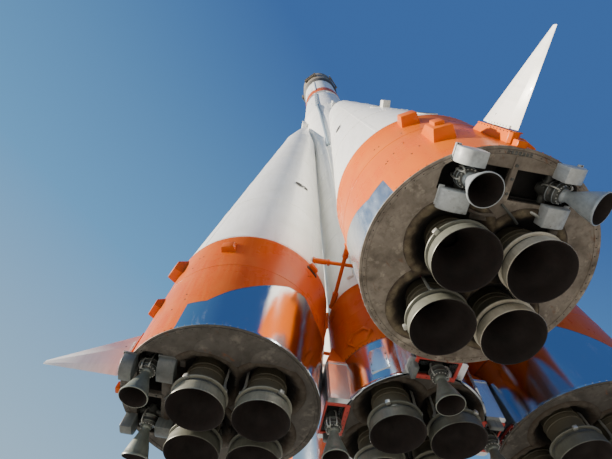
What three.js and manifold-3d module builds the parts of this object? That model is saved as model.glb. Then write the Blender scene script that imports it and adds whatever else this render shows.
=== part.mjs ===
// A three-stage space rocket as a model at half size: a core with four strap-on boosters, a
// third stage on an open truss, and a payload fairing with folded grid fins and an escape tower.
// Millimetres, +Z up. The origin is on the rocket's axis, level with the boosters' lower edges.

import * as THREE from 'three';
import { mergeVertices } from 'three/addons/utils/BufferGeometryUtils.js';
import Module from 'manifold-3d';

const wasm = await Module();
wasm.setup();

// Every dimension below is the full-size rocket's, in metres, and is brought to the model by full()
const modelScale = 1 / 2;
const full = (metres) => metres * 1000 * modelScale;
const radians = THREE.MathUtils.degToRad;

const seat = 0.0006; // what is left between two pieces that touch

// How many sides the round pieces have
const sides = { booster: 28, core: 32, nozzle: 14, vernier: 10, bar: 6 };

// Boosters: a cone on a flared skirt, leaning in towards the core
const boosterAxisRadius = 2.652;
const boosterLean = 3.67;
const skirtFoot = 1.34;
const skirtTop = 1.384;
const skirtHeight = 2.34;
const skirtWall = 0.03;
const plateDepth = 0.3;
const boosterShoulder = { height: 14.5, radius: 0.68 };
const boosterTip = { height: 18.78, radius: 0.11 };

// Core: a slim cylinder that widens to a waist above the boosters and narrows to the truss
const coreRadius = 1.02;
const coreTailRadius = 1.035;
const coreTailHeight = 2.3;
const waist = { radius: 1.475, low: 19.9, high: 20.3 };
const coreTop = { height: 26.3, radius: 1.33 };

// Upper stages
const trussHeight = 0.9;
const stageRadius = 1.33;
const stageTailHeight = 0.9;
const stageTop = 34.4;
const fairingRadius = 1.5;
const fairingShoulder = 40.3;
const fairingTop = 45.0;
const towerShoulder = 48.7;
const towerTop = 50.6;

// Engines
const nozzleSpacing = 0.4;
const nozzleExit = { radius: 0.36, depth: 0.46 };
const nozzleBarrel = 0.25;
const nozzleRing = { radius: 0.347, depth: 0.25 };
const boot = { radius: 0.5, depth: 0.21 };
const boosterClusterShift = -0.169;
const vernierRadial = 0.955;
const vernierTangential = 0.47;
const vernierHeight = 0.12;
const vernierLength = 0.6;
const coreVernierRadial = 1.12;
const coreVernierHeight = 0.02;
const coreNozzleDepth = 0.472;

// Rudders on the boosters and grid fins on the fairing
const rudderRoot = 1.48;
const rudderHinge = 0.72;
const rudderBlockFace = 1.465;
const gridFinHinge = { radius: 1.6, height: 36.85 };

// Materials
const painted = (color, roughness = 0.45) =>
  new THREE.MeshStandardMaterial({ color, roughness, metalness: 0 });
const metal = (color, roughness = 0.35) =>
  new THREE.MeshStandardMaterial({ color, roughness, metalness: 0.9 });
const white = painted('#e4e6e2');
const orange = painted('#d9531f', 0.4);
const shield = painted('#6e665e', 0.8);
const nozzleMetal = metal('#747872', 0.4);
const vernierMetal = metal('#8a8c86', 0.35);
const trussPaint = painted('#d8dcdc');
const fairingPaint = painted('#8c8474', 0.6);
const lattice = painted('#6a6450', 0.6);
const towerPaint = painted('#dcdcd4');

// A closed geometry as a solid with its faces pointing out
function solidOf(geometry) {
  geometry.deleteAttribute('normal');
  geometry.deleteAttribute('uv');
  const merged = mergeVertices(geometry, 1e-3);
  const vertProperties = new Float32Array(merged.attributes.position.array);
  const corner = (index) => new THREE.Vector3().fromArray(vertProperties, 3 * index);
  const triangles = [];
  let volume = 0;
  for (let i = 0; i < merged.index.count; i += 3) {
    const [a, b, c] = [0, 1, 2].map((k) => merged.index.getX(i + k));
    if (a === b || b === c || c === a) continue;
    triangles.push([a, b, c]);
    volume += corner(a).dot(corner(b).cross(corner(c)));
  }
  const triVerts = new Uint32Array(
    triangles.flatMap(([a, b, c]) => (volume > 0 ? [a, b, c] : [a, c, b])),
  );
  return new wasm.Manifold(new wasm.Mesh({ numProp: 3, vertProperties, triVerts }));
}

const joined = (solids) => solids.reduce((whole, solid) => whole.add(solid));
const cutBy = (solid, tools) => tools.reduce((left, tool) => left.subtract(tool), solid);

// A solid moved by a matrix
const placed = (solid, matrix) => solid.transform(matrix.elements);

// A solid turned about Z by an angle in degrees
const turnedBy = (solid, degrees) =>
  placed(solid, new THREE.Matrix4().makeRotationZ(radians(degrees)));

// A solid moved by metres
const shifted = (solid, x, y, z) =>
  placed(solid, new THREE.Matrix4().makeTranslation(full(x), full(y), full(z)));

// A solid of revolution from its outline, a list of [radius, height]
function turned(outline, faces = sides.core) {
  const points = outline.map(([radius, height]) => new THREE.Vector2(full(radius), full(height)));
  return solidOf(new THREE.LatheGeometry(points, faces).rotateX(Math.PI / 2));
}

// A box between two limits on each axis
function block([x0, x1], [y0, y1], [z0, z1]) {
  const geometry = new THREE.BoxGeometry(full(x1 - x0), full(y1 - y0), full(z1 - z0));
  return solidOf(
    geometry.translate(full((x0 + x1) / 2), full((y0 + y1) / 2), full((z0 + z1) / 2)),
  );
}

// A round bar between two points in metres
function bar(from, to, radius, faces = sides.bar) {
  const start = new THREE.Vector3(...from);
  const run = new THREE.Vector3(...to).sub(start);
  const geometry = new THREE.CylinderGeometry(
    full(radius), full(radius), full(run.length()), faces,
  );
  const turn = new THREE.Quaternion().setFromUnitVectors(
    new THREE.Vector3(0, 1, 0), run.clone().normalize(),
  );
  const middle = start.addScaledVector(run, 0.5).multiplyScalar(full(1));
  return solidOf(geometry.applyQuaternion(turn).translate(middle.x, middle.y, middle.z));
}

// A plate of a given thickness across Y, from its outline in X and Z
function plate(outline, thickness) {
  const shape = new THREE.Shape(outline.map(([x, z]) => new THREE.Vector2(full(x), full(z))));
  const geometry = new THREE.ExtrudeGeometry(shape, { depth: full(thickness), bevelEnabled: false });
  return solidOf(geometry.rotateX(Math.PI / 2).translate(0, full(thickness / 2), 0));
}

// A named mesh from a solid
function meshOf(name, solid, material) {
  const { vertProperties, triVerts } = solid.getMesh();
  const geometry = new THREE.BufferGeometry();
  geometry.setAttribute('position', new THREE.BufferAttribute(new Float32Array(vertProperties), 3));
  geometry.setIndex(new THREE.BufferAttribute(new Uint32Array(triVerts), 1));
  const mesh = new THREE.Mesh(geometry, material);
  mesh.name = name;
  return mesh;
}

// Engine nozzles

// A main nozzle hanging from a height: a barrel, a shoulder with a ring, and a short wide skirt
// with a thin lip, open below
function mainNozzle(roof, exitHeight) {
  const { radius } = nozzleExit;
  const { radius: ring, depth } = nozzleRing;
  return turned([
    [0, roof], [nozzleBarrel, roof], [nozzleBarrel, 0.06 - depth], [ring, -depth + 0.015],
    [ring, -depth - 0.015], [radius, exitHeight], [radius - 0.02, exitHeight],
    [ring - 0.03, -depth - 0.03], [0.2, 0.08 - depth], [0.12, roof - 0.15], [0, roof - 0.15],
  ], sides.nozzle);
}

// Copies of a solid at the four places round a point where the main nozzles stand
const fourfold = (solid, centre) =>
  [[1, 1], [1, -1], [-1, 1], [-1, -1]].map(([x, y]) =>
    shifted(solid, centre + x * nozzleSpacing, y * nozzleSpacing, 0));

// What a padded boot leaves open round a main nozzle: a dish that narrows to the barrel
const bootOpening = () => turned([
  [0, -1], [boot.radius, -1], [boot.radius, 0], [nozzleBarrel, boot.depth], [0, boot.depth],
], sides.nozzle);

// A vernier about its trunnion: a pin along X, a chamber with a drum, and a small bell that
// opens down
function vernier(pinLength, length) {
  const chamber = turned([
    [0, 0.09], [0.08, 0.09], [0.08, -0.05], [0.105, -0.07], [0.105, -0.18], [0.06, -0.24],
    [0.12, -0.42], [0.175, -length], [0.163, -length], [0.045, -0.27], [0, -0.27],
  ], sides.vernier);
  return joined([chamber, bar([-pinLength / 2, 0, 0], [pinLength / 2, 0, 0], 0.05, sides.bar)]);
}

// Boosters

const boosterTaper = (height) => {
  const share = (height - skirtHeight) / (boosterShoulder.height - skirtHeight);
  return skirtTop + share * (boosterShoulder.radius - skirtTop);
};

// The cone's outline above the skirt, a list of [radius, height], grown by a margin
const boosterOutline = (grow = 0) => [
  [skirtTop + grow, skirtHeight],
  [boosterTaper(8) + grow, 8],
  [boosterShoulder.radius + grow, boosterShoulder.height],
  [0.5 + grow, 16.1],
  [0.29 + grow, 17.6],
  [boosterTip.radius + grow, boosterTip.height],
  [0.06 + grow, boosterTip.height + 0.06 + grow],
];

const boosterConeTop = boosterTip.height + 0.06;

function boosterBody() {
  return turned([
    [0, skirtHeight + seat], [skirtTop, skirtHeight + seat], ...boosterOutline().slice(1),
    [0, boosterConeTop],
  ], sides.booster);
}

// The space that the cone fills with its seat, for cutting what rests on it
const boosterClearance = () =>
  turned([[0, skirtHeight], ...boosterOutline(seat), [0, boosterConeTop + seat]], sides.booster);

// Small streamlined boxes on the skirt: their turns from the fin, low, high, width, depth
const skirtBoxes = [
  { turns: [-25], low: 0.58, high: 1.3, width: 0.28, depth: 0.155 },
  { turns: [25], low: 0.92, high: 1.25, width: 0.27, depth: 0.1 },
  { turns: [28, -28], low: 1.8, high: 2.3, width: 0.27, depth: 0.15 },
  { turns: [71], low: 1.82, high: 2.15, width: 0.25, depth: 0.09 },
];

function boosterSkirt() {
  const shell = turned([
    [0, plateDepth + seat], [skirtFoot - skirtWall, plateDepth + seat], [skirtFoot - skirtWall, 0],
    [skirtFoot, 0], [skirtTop, skirtHeight], [0, skirtHeight],
  ], sides.booster);
  const boxes = skirtBoxes.flatMap(({ turns, low, high, width, depth }) => {
    const inner = skirtFoot - 0.05;
    const outer = skirtFoot + depth;
    const slopeStart = low + 0.5 * (high - low);
    const box = plate([[inner, low], [outer, low], [outer, slopeStart], [inner, high]], width);
    return turns.map((turn) => turnedBy(box, turn));
  });
  const finRoot = plate([
    [skirtFoot - 0.02, 0.2], [rudderBlockFace, 0.22], [rudderBlockFace, 1.02],
    [skirtFoot - 0.02, 1.17],
  ], 0.13);
  return joined([shell, ...boxes, finRoot]).subtract(boosterClearance());
}

// Guards beside the verniers: near and far limits along X, how far they hang, and their limits
// along Y, with the lower edge rounded on the far side
const guards = [
  { near: 1.1, far: 1.26, hang: 0.22, inner: 0.41, outer: 0.67 },
  { near: 0.6, far: 0.82, hang: 0.15, inner: 0.41, outer: 0.71 },
];

function guard({ near, far, hang, inner, outer }) {
  const across = (share) => inner + share * (outer - inner);
  const form = plate([
    [inner, 0.03], [inner, -hang], [across(0.5), -hang], [across(0.83), -0.75 * hang],
    [outer, -0.3 * hang], [outer, 0.03],
  ], far - near);
  return shifted(turnedBy(form, 90), (near + far) / 2, 0, 0);
}

// Where the verniers hang: a pocket each side of the post in the plate's middle
const recess = { half: 0.165, inner: 0.035, outer: 0.74 };

function boosterEngine() {
  const plateRadius = skirtFoot - skirtWall - seat;
  const round = (low, high) =>
    turned([[0, low], [plateRadius, low], [plateRadius, high], [0, high]], sides.booster);
  const dishes = fourfold(bootOpening(), boosterClusterShift);
  const pocket = block(
    [vernierRadial - recess.half, vernierRadial + recess.half], [recess.inner, recess.outer],
    [-1, plateDepth + 1],
  );
  const plateBody = cutBy(round(0, plateDepth), [...dishes, pocket, pocket.mirror([0, 1, 0])]);
  const lip = turned([
    [plateRadius, -seat], [skirtTop + 1, -seat], [skirtTop + 1, 1], [plateRadius, 1],
    [plateRadius, -seat],
  ], sides.booster);
  const guardBoxes = guards.flatMap((limits) => {
    const box = guard(limits).subtract(lip);
    return [box, box.mirror([0, 1, 0])];
  });
  const nozzle = mainNozzle(plateDepth - 0.03, -nozzleExit.depth);
  const nozzles = fourfold(nozzle, boosterClusterShift);
  return joined([plateBody, ...guardBoxes, ...nozzles]);
}

function rudderBlade() {
  const blade = plate([[rudderRoot, 0.2], [rudderRoot, 1.06], [2.48, 0.26], [2.48, 0.19]], 0.08);
  return blade.add(bar([rudderBlockFace + seat, 0, rudderHinge], [1.6, 0, rudderHinge], 0.05));
}

// Boosters by letter: direction on the plan in degrees, and how each vernier is left swung
const boosters = [
  { letter: 'a', azimuth: -45, swing: { left: 28, right: 0 } },
  { letter: 'b', azimuth: -135, swing: { left: 0, right: -20 } },
  { letter: 'c', azimuth: 135, swing: { left: 0, right: 0 } },
  { letter: 'd', azimuth: 45, swing: { left: 0, right: 0 } },
];

// Left is counterclockwise of the fin, seen from above
const vernierSides = { left: 1, right: -1 };

function boosterGroup({ letter, azimuth, swing }) {
  const group = new THREE.Group();
  group.rotation.set(0, -radians(boosterLean), radians(azimuth), 'ZYX');
  group.position.set(
    full(boosterAxisRadius * Math.cos(radians(azimuth))),
    full(boosterAxisRadius * Math.sin(radians(azimuth))), 0,
  );
  group.add(
    meshOf(`booster_${letter}_body`, boosterBody(), white),
    meshOf(`booster_${letter}_skirt`, boosterSkirt(), orange),
    meshOf(`booster_${letter}_engine`, boosterEngine(), shield),
    meshOf(`booster_${letter}_rudder`, rudderBlade(), white),
  );
  for (const [side, sign] of Object.entries(vernierSides)) {
    const mesh = meshOf(
      `booster_${letter}_vernier_${side}`, vernier(2 * (recess.half - seat), vernierLength),
      vernierMetal,
    );
    mesh.position.set(full(vernierRadial), full(sign * vernierTangential), full(vernierHeight));
    mesh.rotation.x = radians(swing[side]);
    group.add(mesh);
  }
  group.updateMatrixWorld();
  return group;
}

// Core

const coreOutline = (grow = 0) => [
  [coreRadius + grow, coreTailHeight], [coreRadius + grow, 14.3], [1.085 + grow, 16],
  [1.14 + grow, 17], [1.19 + grow, 18], [1.26 + grow, 19], [waist.radius + grow, waist.low],
  [waist.radius + grow, waist.high], [coreTop.radius + grow, coreTop.height],
];

// Blocks above the boosters' noses that take their thrust, with flat outer faces
const thrustBlock = { near: 1.2, far: 1.62, width: 0.36, low: 19.34, high: 19.95 };

// A cable duct along the upper core
const duct = { azimuth: -84, width: 0.2, height: 0.08 };

function coreBody(noses) {
  const tank = turned(
    [[0, coreTailHeight + seat], [coreRadius, coreTailHeight + seat], ...coreOutline().slice(1),
      [0, coreTop.height]],
    32,
  );
  const half = thrustBlock.width / 2;
  const support = block(
    [thrustBlock.near, thrustBlock.far], [-half, half], [thrustBlock.low, thrustBlock.high],
  );
  const supports = boosters.map(({ azimuth }) => turnedBy(support, azimuth));
  const run = plate([
    [waist.radius - 0.1, waist.high], [waist.radius + duct.height, waist.high + 0.1],
    [coreTop.radius + duct.height, coreTop.height - 0.1], [coreTop.radius - 0.1, coreTop.height],
  ], duct.width);
  return cutBy(joined([tank, ...supports, turnedBy(run, duct.azimuth)]), noses);
}

// Pods on the core's tail that carry its four verniers, under gussets that run up to a point
const pod = { near: 0.95, far: 1.255, halfWidth: 0.3, high: 0.45, apex: 1.2 };

// A gusset over a pod, with its back inside the tail: it narrows from the side and from the front
function podGusset() {
  const foot = pod.high - 0.01;
  const profile = plate([
    [pod.near, foot], [pod.far, foot], [coreTailRadius + 0.01, pod.apex], [pod.near, pod.apex],
  ], 2 * pod.halfWidth);
  const front = plate([
    [-pod.halfWidth, foot], [pod.halfWidth, foot], [0.02, pod.apex], [-0.02, pod.apex],
  ], 4 * pod.far);
  return profile.intersect(turnedBy(front, 90));
}

function coreTail() {
  const inner = coreTailRadius - skirtWall;
  const shell = turned([
    [0, plateDepth + seat], [inner, plateDepth + seat], [inner, 0], [coreTailRadius, 0],
    [coreTailRadius, coreTailHeight], [0, coreTailHeight],
  ]);
  const podBox = block([pod.near, pod.far], [-pod.halfWidth, pod.halfWidth], [0, pod.high])
    .subtract(block([0, inner], [-1, 1], [-1, plateDepth + seat]))
    .add(podGusset());
  const recess = block(
    [coreVernierRadial - 0.1, coreVernierRadial + 0.1], [-0.26, 0.26], [-1, 0.25],
  );
  const pods = boosters.map(({ azimuth }) => turnedBy(podBox, azimuth));
  const recesses = boosters.map(({ azimuth }) => turnedBy(recess, azimuth));
  return cutBy(joined([shell, ...pods]), recesses);
}

function coreEngine() {
  const radius = coreTailRadius - skirtWall - seat;
  const disc = turned([[0, 0], [radius, 0], [radius, plateDepth], [0, plateDepth]]);
  const nozzle = mainNozzle(plateDepth - 0.03, -coreNozzleDepth);
  return joined([cutBy(disc, fourfold(bootOpening(), 0)), ...fourfold(nozzle, 0)]);
}

// The main nozzles of the core stand between the verniers, on the diagonals of the booster plan
const coreEngineTurn = 45;

// Tie rods: each gap between two boosters is crossed by two rods, from each booster's skin to
// the core beside the other booster
const tie = { skinTurn: 134, skinHeight: 2.54, coreTurn: 8, coreHeight: 2.45, radius: 0.035, step: 0.07 };

function tieRod(fromGroup, fromSide, coreAzimuth, rise, obstacles) {
  const turn = radians(fromSide * tie.skinTurn);
  const skin = boosterTaper(tie.skinHeight) - 0.02;
  const start = new THREE.Vector3(
    full(skin * Math.cos(turn)), full(skin * Math.sin(turn)), full(tie.skinHeight + rise),
  ).applyMatrix4(fromGroup.matrixWorld).divideScalar(full(1));
  const end = new THREE.Vector3(
    (coreRadius - 0.02) * Math.cos(radians(coreAzimuth)),
    (coreRadius - 0.02) * Math.sin(radians(coreAzimuth)), tie.coreHeight + rise,
  );
  return cutBy(bar(start.toArray(), end.toArray(), tie.radius), obstacles);
}

// Upper stages

const truss = { ring: 0.08, width: 0.07, bays: 10, barRadius: 0.035 };

function interstageTruss() {
  const low = coreTop.height + seat;
  const high = coreTop.height + trussHeight - seat;
  const ring = (z0, z1) => turned([
    [stageRadius - truss.width, z0], [stageRadius, z0], [stageRadius, z1],
    [stageRadius - truss.width, z1], [stageRadius - truss.width, z0],
  ], 2 * truss.bays);
  const middle = stageRadius - truss.width / 2;
  const onRing = (step, height) => {
    const angle = (step * Math.PI) / truss.bays;
    return [middle * Math.cos(angle), middle * Math.sin(angle), height];
  };
  const bars = [];
  for (let bay = 0; bay < truss.bays; bay += 1) {
    const foot = onRing(2 * bay, low + truss.ring / 2);
    bars.push(bar(foot, onRing(2 * bay + 1, high - truss.ring / 2), truss.barRadius));
    bars.push(bar(foot, onRing(2 * bay - 1, high - truss.ring / 2), truss.barRadius));
  }
  return joined([ring(low, low + truss.ring), ring(high - truss.ring, high), ...bars]);
}

const stageFoot = coreTop.height + trussHeight;
const stageTailTop = stageFoot + stageTailHeight;

function stageTail() {
  const wall = 0.04;
  return turned([
    [stageRadius - wall, stageFoot], [stageRadius, stageFoot], [stageRadius, stageTailTop],
    [stageRadius - wall, stageTailTop], [stageRadius - wall, stageFoot],
  ]);
}

// The third stage's four small nozzles under one plate
function stageEngine() {
  const radius = stageRadius - 0.04 - seat;
  const low = stageTailTop - 0.1;
  const disc = turned([[0, low], [radius, low], [radius, stageTailTop], [0, stageTailTop]]);
  const bell = turned([
    [0, low + 0.05], [0.12, low + 0.05], [0.1, low - 0.25], [0.25, low - 0.85],
    [0.235, low - 0.85], [0.07, low - 0.3], [0, low - 0.3],
  ], sides.vernier);
  const offset = 0.34;
  const bells = [[1, 1], [1, -1], [-1, 1], [-1, -1]].map(([x, y]) =>
    shifted(bell, x * offset, y * offset, 0));
  return joined([disc, ...bells]);
}

const stageTank = () => turned([
  [0, stageTailTop + seat], [stageRadius, stageTailTop + seat], [stageRadius, stageTop],
  [0, stageTop],
]);

// Brackets that hold a grid fin's hinge, either side of its barrel
const finBracket = { near: 1.36, far: 1.66, inner: 0.47, outer: 0.55, low: 36.72, high: 36.95 };

function fairingLower(azimuths) {
  const shell = turned([
    [0, stageTop + seat], [stageRadius, stageTop + seat], [fairingRadius, 35.0],
    [fairingRadius, fairingShoulder], [0, fairingShoulder],
  ]);
  const { near, far, inner, outer, low, high } = finBracket;
  const brackets = azimuths.flatMap((azimuth) =>
    [[inner, outer], [-outer, -inner]].map((span) =>
      turnedBy(block([near, far], span, [low, high]), azimuth)));
  return joined([shell, ...brackets]);
}

const fairingUpper = () => turned([
  [0, fairingShoulder + seat], [fairingRadius, fairingShoulder + seat], [1.12, 42.4],
  [1.02, 43.3], [0.62, 44.6], [0.42, fairingTop], [0, fairingTop],
]);

const escapeMotor = () => turned([
  [0, fairingTop + seat], [0.42, fairingTop + seat], [0.36, 45.4], [0.36, towerShoulder],
  [0, towerShoulder],
], 20);

const escapeTip = () => turned([
  [0, towerShoulder + seat], [0.36, towerShoulder + seat], [0.47, 48.8], [0.47, 49.2],
  [0.24, 49.35], [0.18, 50.0], [0.05, towerTop], [0, towerTop],
], 20);

// A grid fin folded up against the fairing: a flat frame of crossing bars over its hinge barrel
const gridFin = {
  near: 1.53, far: 1.64, halfWidth: 0.6, low: 36.97, high: 38.45, barWidth: 0.05, columns: 4, rows: 5,
};

function foldedGridFin() {
  const { near, far, halfWidth, low, high, barWidth, columns, rows } = gridFin;
  const columnStep = (2 * halfWidth - barWidth) / columns;
  const rowStep = (high - low - barWidth) / rows;
  const cells = Array.from({ length: columns * rows }, (_, cell) => {
    const y0 = barWidth - halfWidth + (cell % columns) * columnStep;
    const z0 = low + barWidth + Math.floor(cell / columns) * rowStep;
    return block([0, 2], [y0, y0 + columnStep - barWidth], [z0, z0 + rowStep - barWidth]);
  });
  const frame = cutBy(block([near, far], [-halfWidth, halfWidth], [low, high]), cells);
  const barrelHalf = finBracket.inner - seat;
  const { radius, height } = gridFinHinge;
  const barrel = bar([radius, -barrelHalf, height], [radius, barrelHalf, height], 0.05);
  const arms = [-0.3, 0.3].map((y) =>
    block([radius - 0.04, radius + 0.04], [y - 0.05, y + 0.05], [height, low + 0.03]));
  return joined([frame, barrel, ...arms]);
}

const gridFinAzimuths = [0, 90, 180, -90];

// The whole rocket

const rocket = new THREE.Group();
const boosterGroups = boosters.map(boosterGroup);
const noseClearances = boosterGroups.map((group) => placed(boosterClearance(), group.matrixWorld));
const coreClearance = turned([[0, coreTailHeight], ...coreOutline(seat), [0, coreTop.height]]);

rocket.add(
  ...boosterGroups,
  meshOf('core_body', coreBody(noseClearances), white),
  meshOf('core_tail', coreTail(), orange),
  meshOf('core_engine', turnedBy(coreEngine(), coreEngineTurn), shield),
);

boosters.forEach(({ letter, azimuth }, index) => {
  const group = boosterGroups[index];
  const after = boosters[(index + 3) % boosters.length];
  const before = boosters[(index + 1) % boosters.length];
  const obstacles = [noseClearances[index], coreClearance];
  const coreVernier = meshOf(`core_vernier_${letter}`, vernier(0.2 - 2 * seat, vernierLength), vernierMetal);
  coreVernier.position.set(
    full(coreVernierRadial * Math.cos(radians(azimuth))),
    full(coreVernierRadial * Math.sin(radians(azimuth))), full(coreVernierHeight),
  );
  coreVernier.rotation.z = radians(azimuth);
  rocket.add(
    coreVernier,
    meshOf(
      `tie_rod_${letter}_left`,
      tieRod(group, 1, after.azimuth - tie.coreTurn, tie.step, obstacles), orange,
    ),
    meshOf(
      `tie_rod_${letter}_right`,
      tieRod(group, -1, before.azimuth + tie.coreTurn, -tie.step, obstacles), orange,
    ),
  );
});

rocket.add(
  meshOf('interstage_truss', interstageTruss(), trussPaint),
  meshOf('third_stage_tail', stageTail(), orange),
  meshOf('third_stage_engine', stageEngine(), nozzleMetal),
  meshOf('third_stage_body', stageTank(), white),
  meshOf('fairing_lower', fairingLower(gridFinAzimuths), fairingPaint),
  meshOf('fairing_upper', fairingUpper(), fairingPaint),
  meshOf('escape_motor', escapeMotor(), towerPaint),
  meshOf('escape_tip', escapeTip(), towerPaint),
  ...gridFinAzimuths.map((azimuth, index) =>
    meshOf(`grid_fin_${index + 1}`, turnedBy(foldedGridFin(), azimuth), lattice)),
);

export default rocket;
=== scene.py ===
import math

import bmesh
import bpy
from mathutils import Matrix, Vector


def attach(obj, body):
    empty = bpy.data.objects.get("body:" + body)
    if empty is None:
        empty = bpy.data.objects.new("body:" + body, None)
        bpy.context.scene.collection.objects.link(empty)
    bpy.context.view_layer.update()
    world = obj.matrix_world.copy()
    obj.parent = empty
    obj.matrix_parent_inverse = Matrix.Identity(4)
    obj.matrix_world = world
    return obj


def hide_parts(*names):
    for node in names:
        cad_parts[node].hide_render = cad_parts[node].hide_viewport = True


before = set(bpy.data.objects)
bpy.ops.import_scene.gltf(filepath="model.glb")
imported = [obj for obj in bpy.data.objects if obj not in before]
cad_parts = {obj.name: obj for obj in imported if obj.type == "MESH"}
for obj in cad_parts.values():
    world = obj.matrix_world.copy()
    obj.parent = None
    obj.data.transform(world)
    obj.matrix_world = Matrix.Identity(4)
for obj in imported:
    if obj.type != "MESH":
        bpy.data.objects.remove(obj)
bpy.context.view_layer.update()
print("frame loaded")

# The rocket is a half-size model. Its pieces are made in the real rocket's metres, each in its own
# frame, and the matrix that puts a piece in its place also brings it to half size.
modelScale = 0.5
wholeRocket = Matrix.Scale(modelScale, 4)

# Camera, floor and light

view = {
    "place": (0.8026, -2.4454, -1.9476),   # low, between two boosters, looking up
    "angles": (154.347, 0.845, 34.676),
    "lens": 23.917,
    "sensor": 36,
    "shift": (-0.0074, 0.0019),
    "farthest": 300,
    "floor": -2.02,
    "floorSize": 90.0,
    "sunFrom": (-138, 21),                 # degrees round and up
    "sunPower": 13.5,
    "sunAngle": 2.0,
    "sunColour": "#FFF2DF",
    "skyLow": "#BFE0F8",
    "skySteps": ((-0.3, 0.2, "#72B2E8"), (0.2, 0.75, "#4470B4")),   # from, to, colour
    "skyLean": (0.7, 0.0, 0.75),           # towards the deepest blue
    "skyPower": 0.85,
    "floorColour": "#B0ACA3",
    "floorWorn": "#A7A298",
}


def linearOf(code):
    # an sRGB hex value as a linear colour
    parts = [int(code[i:i + 2], 16) / 255 for i in (1, 3, 5)]
    return [c / 12.92 if c <= 0.04045 else ((c + 0.055) / 1.055) ** 2.4 for c in parts] + [1.0]


def addNode(tree, kind, inputs=None, stops=(), output=0, **settings):
    # a node with its settings, its values and its links; gives one of its outputs
    node = tree.nodes.new(kind)
    for name, value in settings.items():
        setattr(node, name, value)
    for socket, value in (inputs or {}).items():
        if isinstance(value, bpy.types.NodeSocket):
            tree.links.new(value, node.inputs[socket])
        else:
            node.inputs[socket].default_value = value
    if stops:
        elements = node.color_ramp.elements
        elements.remove(elements[1])
        for index, (at, value) in enumerate(stops):
            element = elements.new(at) if index else elements[0]
            element.position = at
            element.color = (value, value, value, 1.0)
    return node.outputs[output] if node.outputs else None


def calc(tree, operation, *values):
    return addNode(tree, "ShaderNodeMath", dict(enumerate(values)), operation=operation)


def vectorCalc(tree, operation, *values, output=0):
    return addNode(tree, "ShaderNodeVectorMath", dict(enumerate(values)), output=output,
                   operation=operation)


def ramp(tree, value, low, high):
    # 0 on low's side and 1 on high's
    return addNode(tree, "ShaderNodeMapRange", {0: value, 1: low, 2: high})


def mixed(tree, share, first, second):
    # two colours, or two numbers
    if isinstance(second, list):
        return addNode(tree, "ShaderNodeMix", {0: share, 6: first, 7: second}, output=2,
                       data_type="RGBA")
    return addNode(tree, "ShaderNodeMix", {0: share, 2: first, 3: second}, data_type="FLOAT")


def patternScale(millimetres):
    # the scale of a pattern whose grain has that size on the model
    return 1000 / millimetres


def noise(tree, coords, size, detail, roughness=0.5):
    return addNode(tree, "ShaderNodeTexNoise", {
        "Vector": coords, "Scale": patternScale(size), "Detail": detail, "Roughness": roughness,
    })


def linked(name, data):
    thing = bpy.data.objects.new(name, data)
    bpy.context.scene.collection.objects.link(thing)
    return thing


def makeCamera():
    data = bpy.data.cameras.new("camera")
    data.lens = view["lens"]
    data.sensor_width = view["sensor"]
    data.shift_x, data.shift_y = view["shift"]
    data.clip_end = view["farthest"]
    camera = linked("camera", data)
    camera.location = view["place"]
    camera.rotation_euler = [math.radians(angle) for angle in view["angles"]]
    bpy.context.scene.camera = camera


def makeLight():
    turn, rise = (math.radians(angle) for angle in view["sunFrom"])
    data = bpy.data.lights.new("key", "SUN")
    data.energy = view["sunPower"]
    data.angle = math.radians(view["sunAngle"])
    data.color = linearOf(view["sunColour"])[:3]
    toSun = Vector((math.cos(turn) * math.cos(rise), math.sin(turn) * math.cos(rise),
                    math.sin(rise)))
    linked("key", data).rotation_euler = toSun.to_track_quat("Z", "Y").to_euler()
    world = bpy.data.worlds.new("world")
    world.use_nodes = True
    tree = world.node_tree
    tree.nodes.clear()
    coords = addNode(tree, "ShaderNodeTexCoord", output="Generated")
    height = vectorCalc(tree, "DOT_PRODUCT", coords, view["skyLean"], output="Value")
    sky = linearOf(view["skyLow"])
    for start, end, colour in view["skySteps"]:
        sky = mixed(tree, ramp(tree, height, start, end), sky, linearOf(colour))
    glow = addNode(tree, "ShaderNodeBackground", {0: sky, 1: view["skyPower"]})
    addNode(tree, "ShaderNodeOutputWorld", {0: glow})
    bpy.context.scene.world = world


# Finishes

even = (1, 1, 1)


def patches(tree, coords, size, low, high, stretch=even, detail=4.0):
    # a mask of soft patches of a size in millimetres: 0 below low, 1 above high
    place = addNode(tree, "ShaderNodeMapping", {0: coords, 3: stretch})
    return ramp(tree, noise(tree, place, size, detail, 0.6), low, high)


def coverWith(tree, shader, mask, colour, roughness=None, metallic=None):
    # another finish over the shader's own, where the mask is 1
    wanted = {"Base Color": linearOf(colour), "Roughness": roughness, "Metallic": metallic}
    for socket, value in wanted.items():
        if value is not None:
            target = shader.inputs[socket]
            below = target.links[0].from_socket if target.is_linked else target.default_value
            tree.links.new(mixed(tree, mask, below, value), target)


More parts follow.
